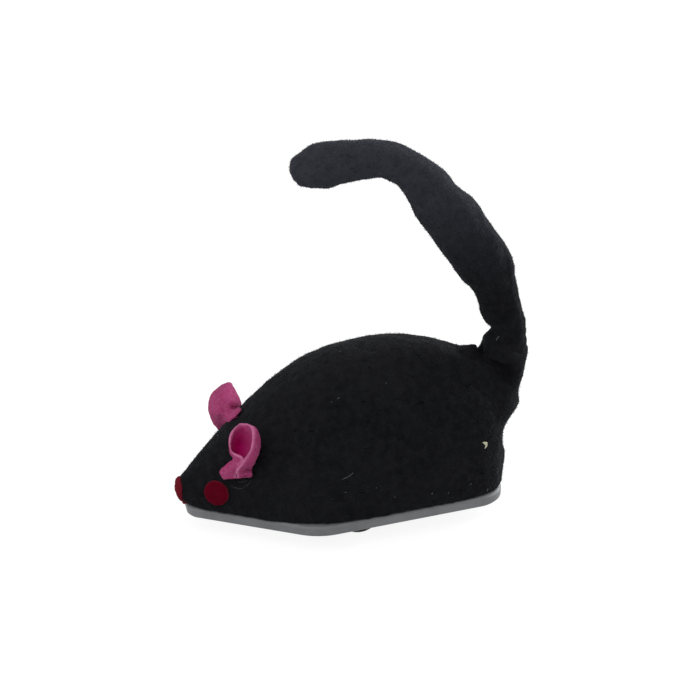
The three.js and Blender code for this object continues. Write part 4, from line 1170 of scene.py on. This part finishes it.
# Lint. Short pale threads and flecks of paper fibre that cling to the pile of
# the body and of the tail's root, and one flake that is broader and whiter.
# Each is given by its foot, its tip and half its width.
LINT = [
    ((0.0359, -0.0036, 0.0433), (0.0367, -0.0034, 0.0446), 0.0001),
    ((-0.0321, -0.0097, 0.0147), (-0.0287, -0.0117, 0.0153), 0.00003),
    ((-0.0304, -0.0105, 0.0160), (-0.0283, -0.0117, 0.0166), 0.00003),
    ((-0.0287, -0.0117, 0.0153), (-0.0276, -0.0121, 0.0166), 0.00003),
    ((-0.0068, -0.0195, 0.0184), (-0.0039, -0.0193, 0.0198), 0.00008),
    ((0.0157, -0.0180, 0.0109), (0.0162, -0.0180, 0.0112), 0.0001),
    ((0.0202, -0.0174, 0.0101), (0.0204, -0.0174, 0.0105), 0.00009),
    ((0.0261, -0.0160, 0.0111), (0.0266, -0.0160, 0.0113), 0.00009),
    ((0.0309, -0.0148, 0.0081), (0.0311, -0.0147, 0.0087), 0.00012),
    ((0.0061, -0.0193, 0.0118), (0.0063, -0.0193, 0.0122), 0.00009),
    ((0.0015, -0.0195, 0.0150), (0.0017, -0.0195, 0.0153), 0.00008),
    ((-0.0062, -0.0199, 0.0151), (-0.0058, -0.0199, 0.0153), 0.00008),
    ((-0.0062, -0.0125, 0.0364), (-0.0056, -0.0125, 0.0366), 0.00009),
    ((-0.0078, -0.0126, 0.0357), (-0.0075, -0.0126, 0.0359), 0.00007),
    ((0.0120, 0.0170, 0.0200), (0.0135, 0.0172, 0.0206), 0.00006),
    ((-0.0150, 0.0150, 0.0170), (-0.0139, 0.0153, 0.0162), 0.00006),
    ((0.0250, 0.0120, 0.0300), (0.0253, 0.0118, 0.0311), 0.00006),
    ((0.0297, -0.0140, 0.0213), (0.0304, -0.0139, 0.0196), 0.00048),
]
THREAD, NAP, ARCH = 0.00012, 0.00032, 0.0002
STEPS, SIDES = 8, 6
grounds = (cloth_skin, surface_of(tail))
points, faces, broad = [], [], []
draw = random.Random(31)
for foot, tip, half in LINT:
    foot, tip = Vector(foot), Vector(tip)
    bend = Vector([draw.uniform(-0.2, 0.2) for _ in range(3)]) * (tip - foot).length
    rise = min(half, THREAD)
    for k in range(STEPS + 1):
        t = k / STEPS
        place = foot.lerp(tip, t) + bend * 4 * t * (1 - t)
        nearest = [ground.find_nearest(place) for ground in grounds]
        spot, n = min(nearest, key=lambda found: found[3])[:2]
        spot = spot + n * (rise + NAP + ARCH * math.sin(math.pi * t))
        side = (tip - foot).normalized().cross(n).normalized()
        share = 0.4 + 0.6 * math.sin(math.pi * (0.1 + 0.8 * t))
        if half > THREAD:
            share *= draw.uniform(0.7, 1.1)
        for j in range(SIDES):
            turn = math.tau * j / SIDES
            out = side * math.cos(turn) * half + n * math.sin(turn) * rise
            points.append(tuple(spot + out * share))
            if k:
                a, b = len(points) - 1, len(points) - 1 - j + (j + 1) % SIDES
                faces.append((a - SIDES, b - SIDES, b, a))
                broad.append(half > THREAD)
lint = made_piece("mouse_lint", points, faces)
lint.data.polygons.foreach_set("material_index", broad)
pale_lint = finish_of(
    "lint_grey",
    fibre,
    {"Fibre": (0.13, 0.13, 0.135, 1), "Shade": (0.07, 0.07, 0.075, 1)},
    0.0001,
    {"Specular IOR Level": 0.1},
)
flake_white = finish_of(
    "lint_white",
    fibre,
    {"Fibre": (0.6, 0.6, 0.42, 1), "Shade": (0.4, 0.4, 0.28, 1)},
    0.0001,
    {"Specular IOR Level": 0.1},
)
lint.data.materials.append(pale_lint)
lint.data.materials.append(flake_white)
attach(lint, "chassis")


# Where the mouse stands: a white floor that keeps its shadow, a white room, one
# large soft lamp above, a smaller one behind, and the camera on the mouse's left.
def mixed_shader(tree, share, first, second):
    """Two shaders mixed by a share."""
    return put(tree, "ShaderNodeMixShader", {0: share, 1: first, 2: second}).outputs[0]


floor_white = bpy.data.materials.new("floor_white")
floor_white.use_nodes = True
tree = floor_white.node_tree
tree.nodes.clear()
rays = put(tree, "ShaderNodeLightPath")
matt = put(tree, "ShaderNodeBsdfDiffuse", {"Color": (0.8, 0.8, 0.8, 1)}).outputs[0]
glow = put(tree, "ShaderNodeEmission", {"Color": (1, 1, 1, 1), "Strength": 0.9}).outputs[0]
faint = put(tree, "ShaderNodeBsdfDiffuse", {"Color": (0.16, 0.16, 0.16, 1)}).outputs[0]
seen_floor = put(tree, "ShaderNodeAddShader", {0: glow, 1: faint}).outputs[0]
one_seen = sums(tree, "MAXIMUM", rays.outputs["Is Camera Ray"], rays.outputs["Is Glossy Ray"])
top_side = mixed_shader(tree, one_seen, matt, seen_floor)
clear = put(tree, "ShaderNodeBsdfTransparent").outputs[0]
under = put(tree, "ShaderNodeNewGeometry").outputs["Backfacing"]
put(tree, "ShaderNodeOutputMaterial", {"Surface": mixed_shader(tree, under, top_side, clear)})

reach = 2.5
corners = [[(x, y, 0) for y in (-reach, reach)] for x in (-reach, reach)]
floor = shell("floor", corners, False)
floor.data.flip_normals()
floor.data.materials.append(floor_white)

room = bpy.data.worlds.new("room")
room.use_nodes = True
tree = room.node_tree
tree.nodes.clear()
rays = put(tree, "ShaderNodeLightPath")
open_view = sums(tree, "MAXIMUM", rays.outputs["Is Camera Ray"], rays.outputs["Is Glossy Ray"])
open_view = sums(tree, "MAXIMUM", open_view, rays.outputs["Is Transmission Ray"])
white = put(tree, "ShaderNodeBackground", {"Color": (1, 1, 1, 1), "Strength": 1.0}).outputs[0]
fill = put(tree, "ShaderNodeBackground", {"Color": (1, 1, 1, 1), "Strength": 0.5}).outputs[0]
put(tree, "ShaderNodeOutputWorld", {"Surface": mixed_shader(tree, open_view, fill, white)})
bpy.context.scene.world = room


def aimed(name, data, place, target):
    """A lamp or camera at a place, turned to look at its target."""
    piece = bpy.data.objects.new(name, data)
    piece.location = place
    piece.rotation_euler = (Vector(target) - piece.location).to_track_quat("-Z", "Y").to_euler()
    bpy.context.scene.collection.objects.link(piece)
    return piece


for name, size, energy, place in (
    ("overhead_lamp", 1.3, 6.0, (-0.6, -0.33, 0.9)),
    ("rear_lamp", 0.5, 9.0, (0.85, 0.4, 0.4)),
):
    lamp = bpy.data.lights.new(name, "AREA")
    lamp.shape = "DISK"
    lamp.size = size
    lamp.energy = energy
    aimed(name, lamp, place, (0, 0, 0.04))

lens = bpy.data.cameras.new("camera")
lens.lens = 94.886
lens.sensor_width = 36.0
lens.clip_start = 0.01
camera = aimed("camera", lens, (-0.09197, -0.3974, 0.23318), (-0.000225, 0, 0.043))
bpy.context.scene.camera = camera
bpy.context.scene.view_settings.view_transform = "Standard"
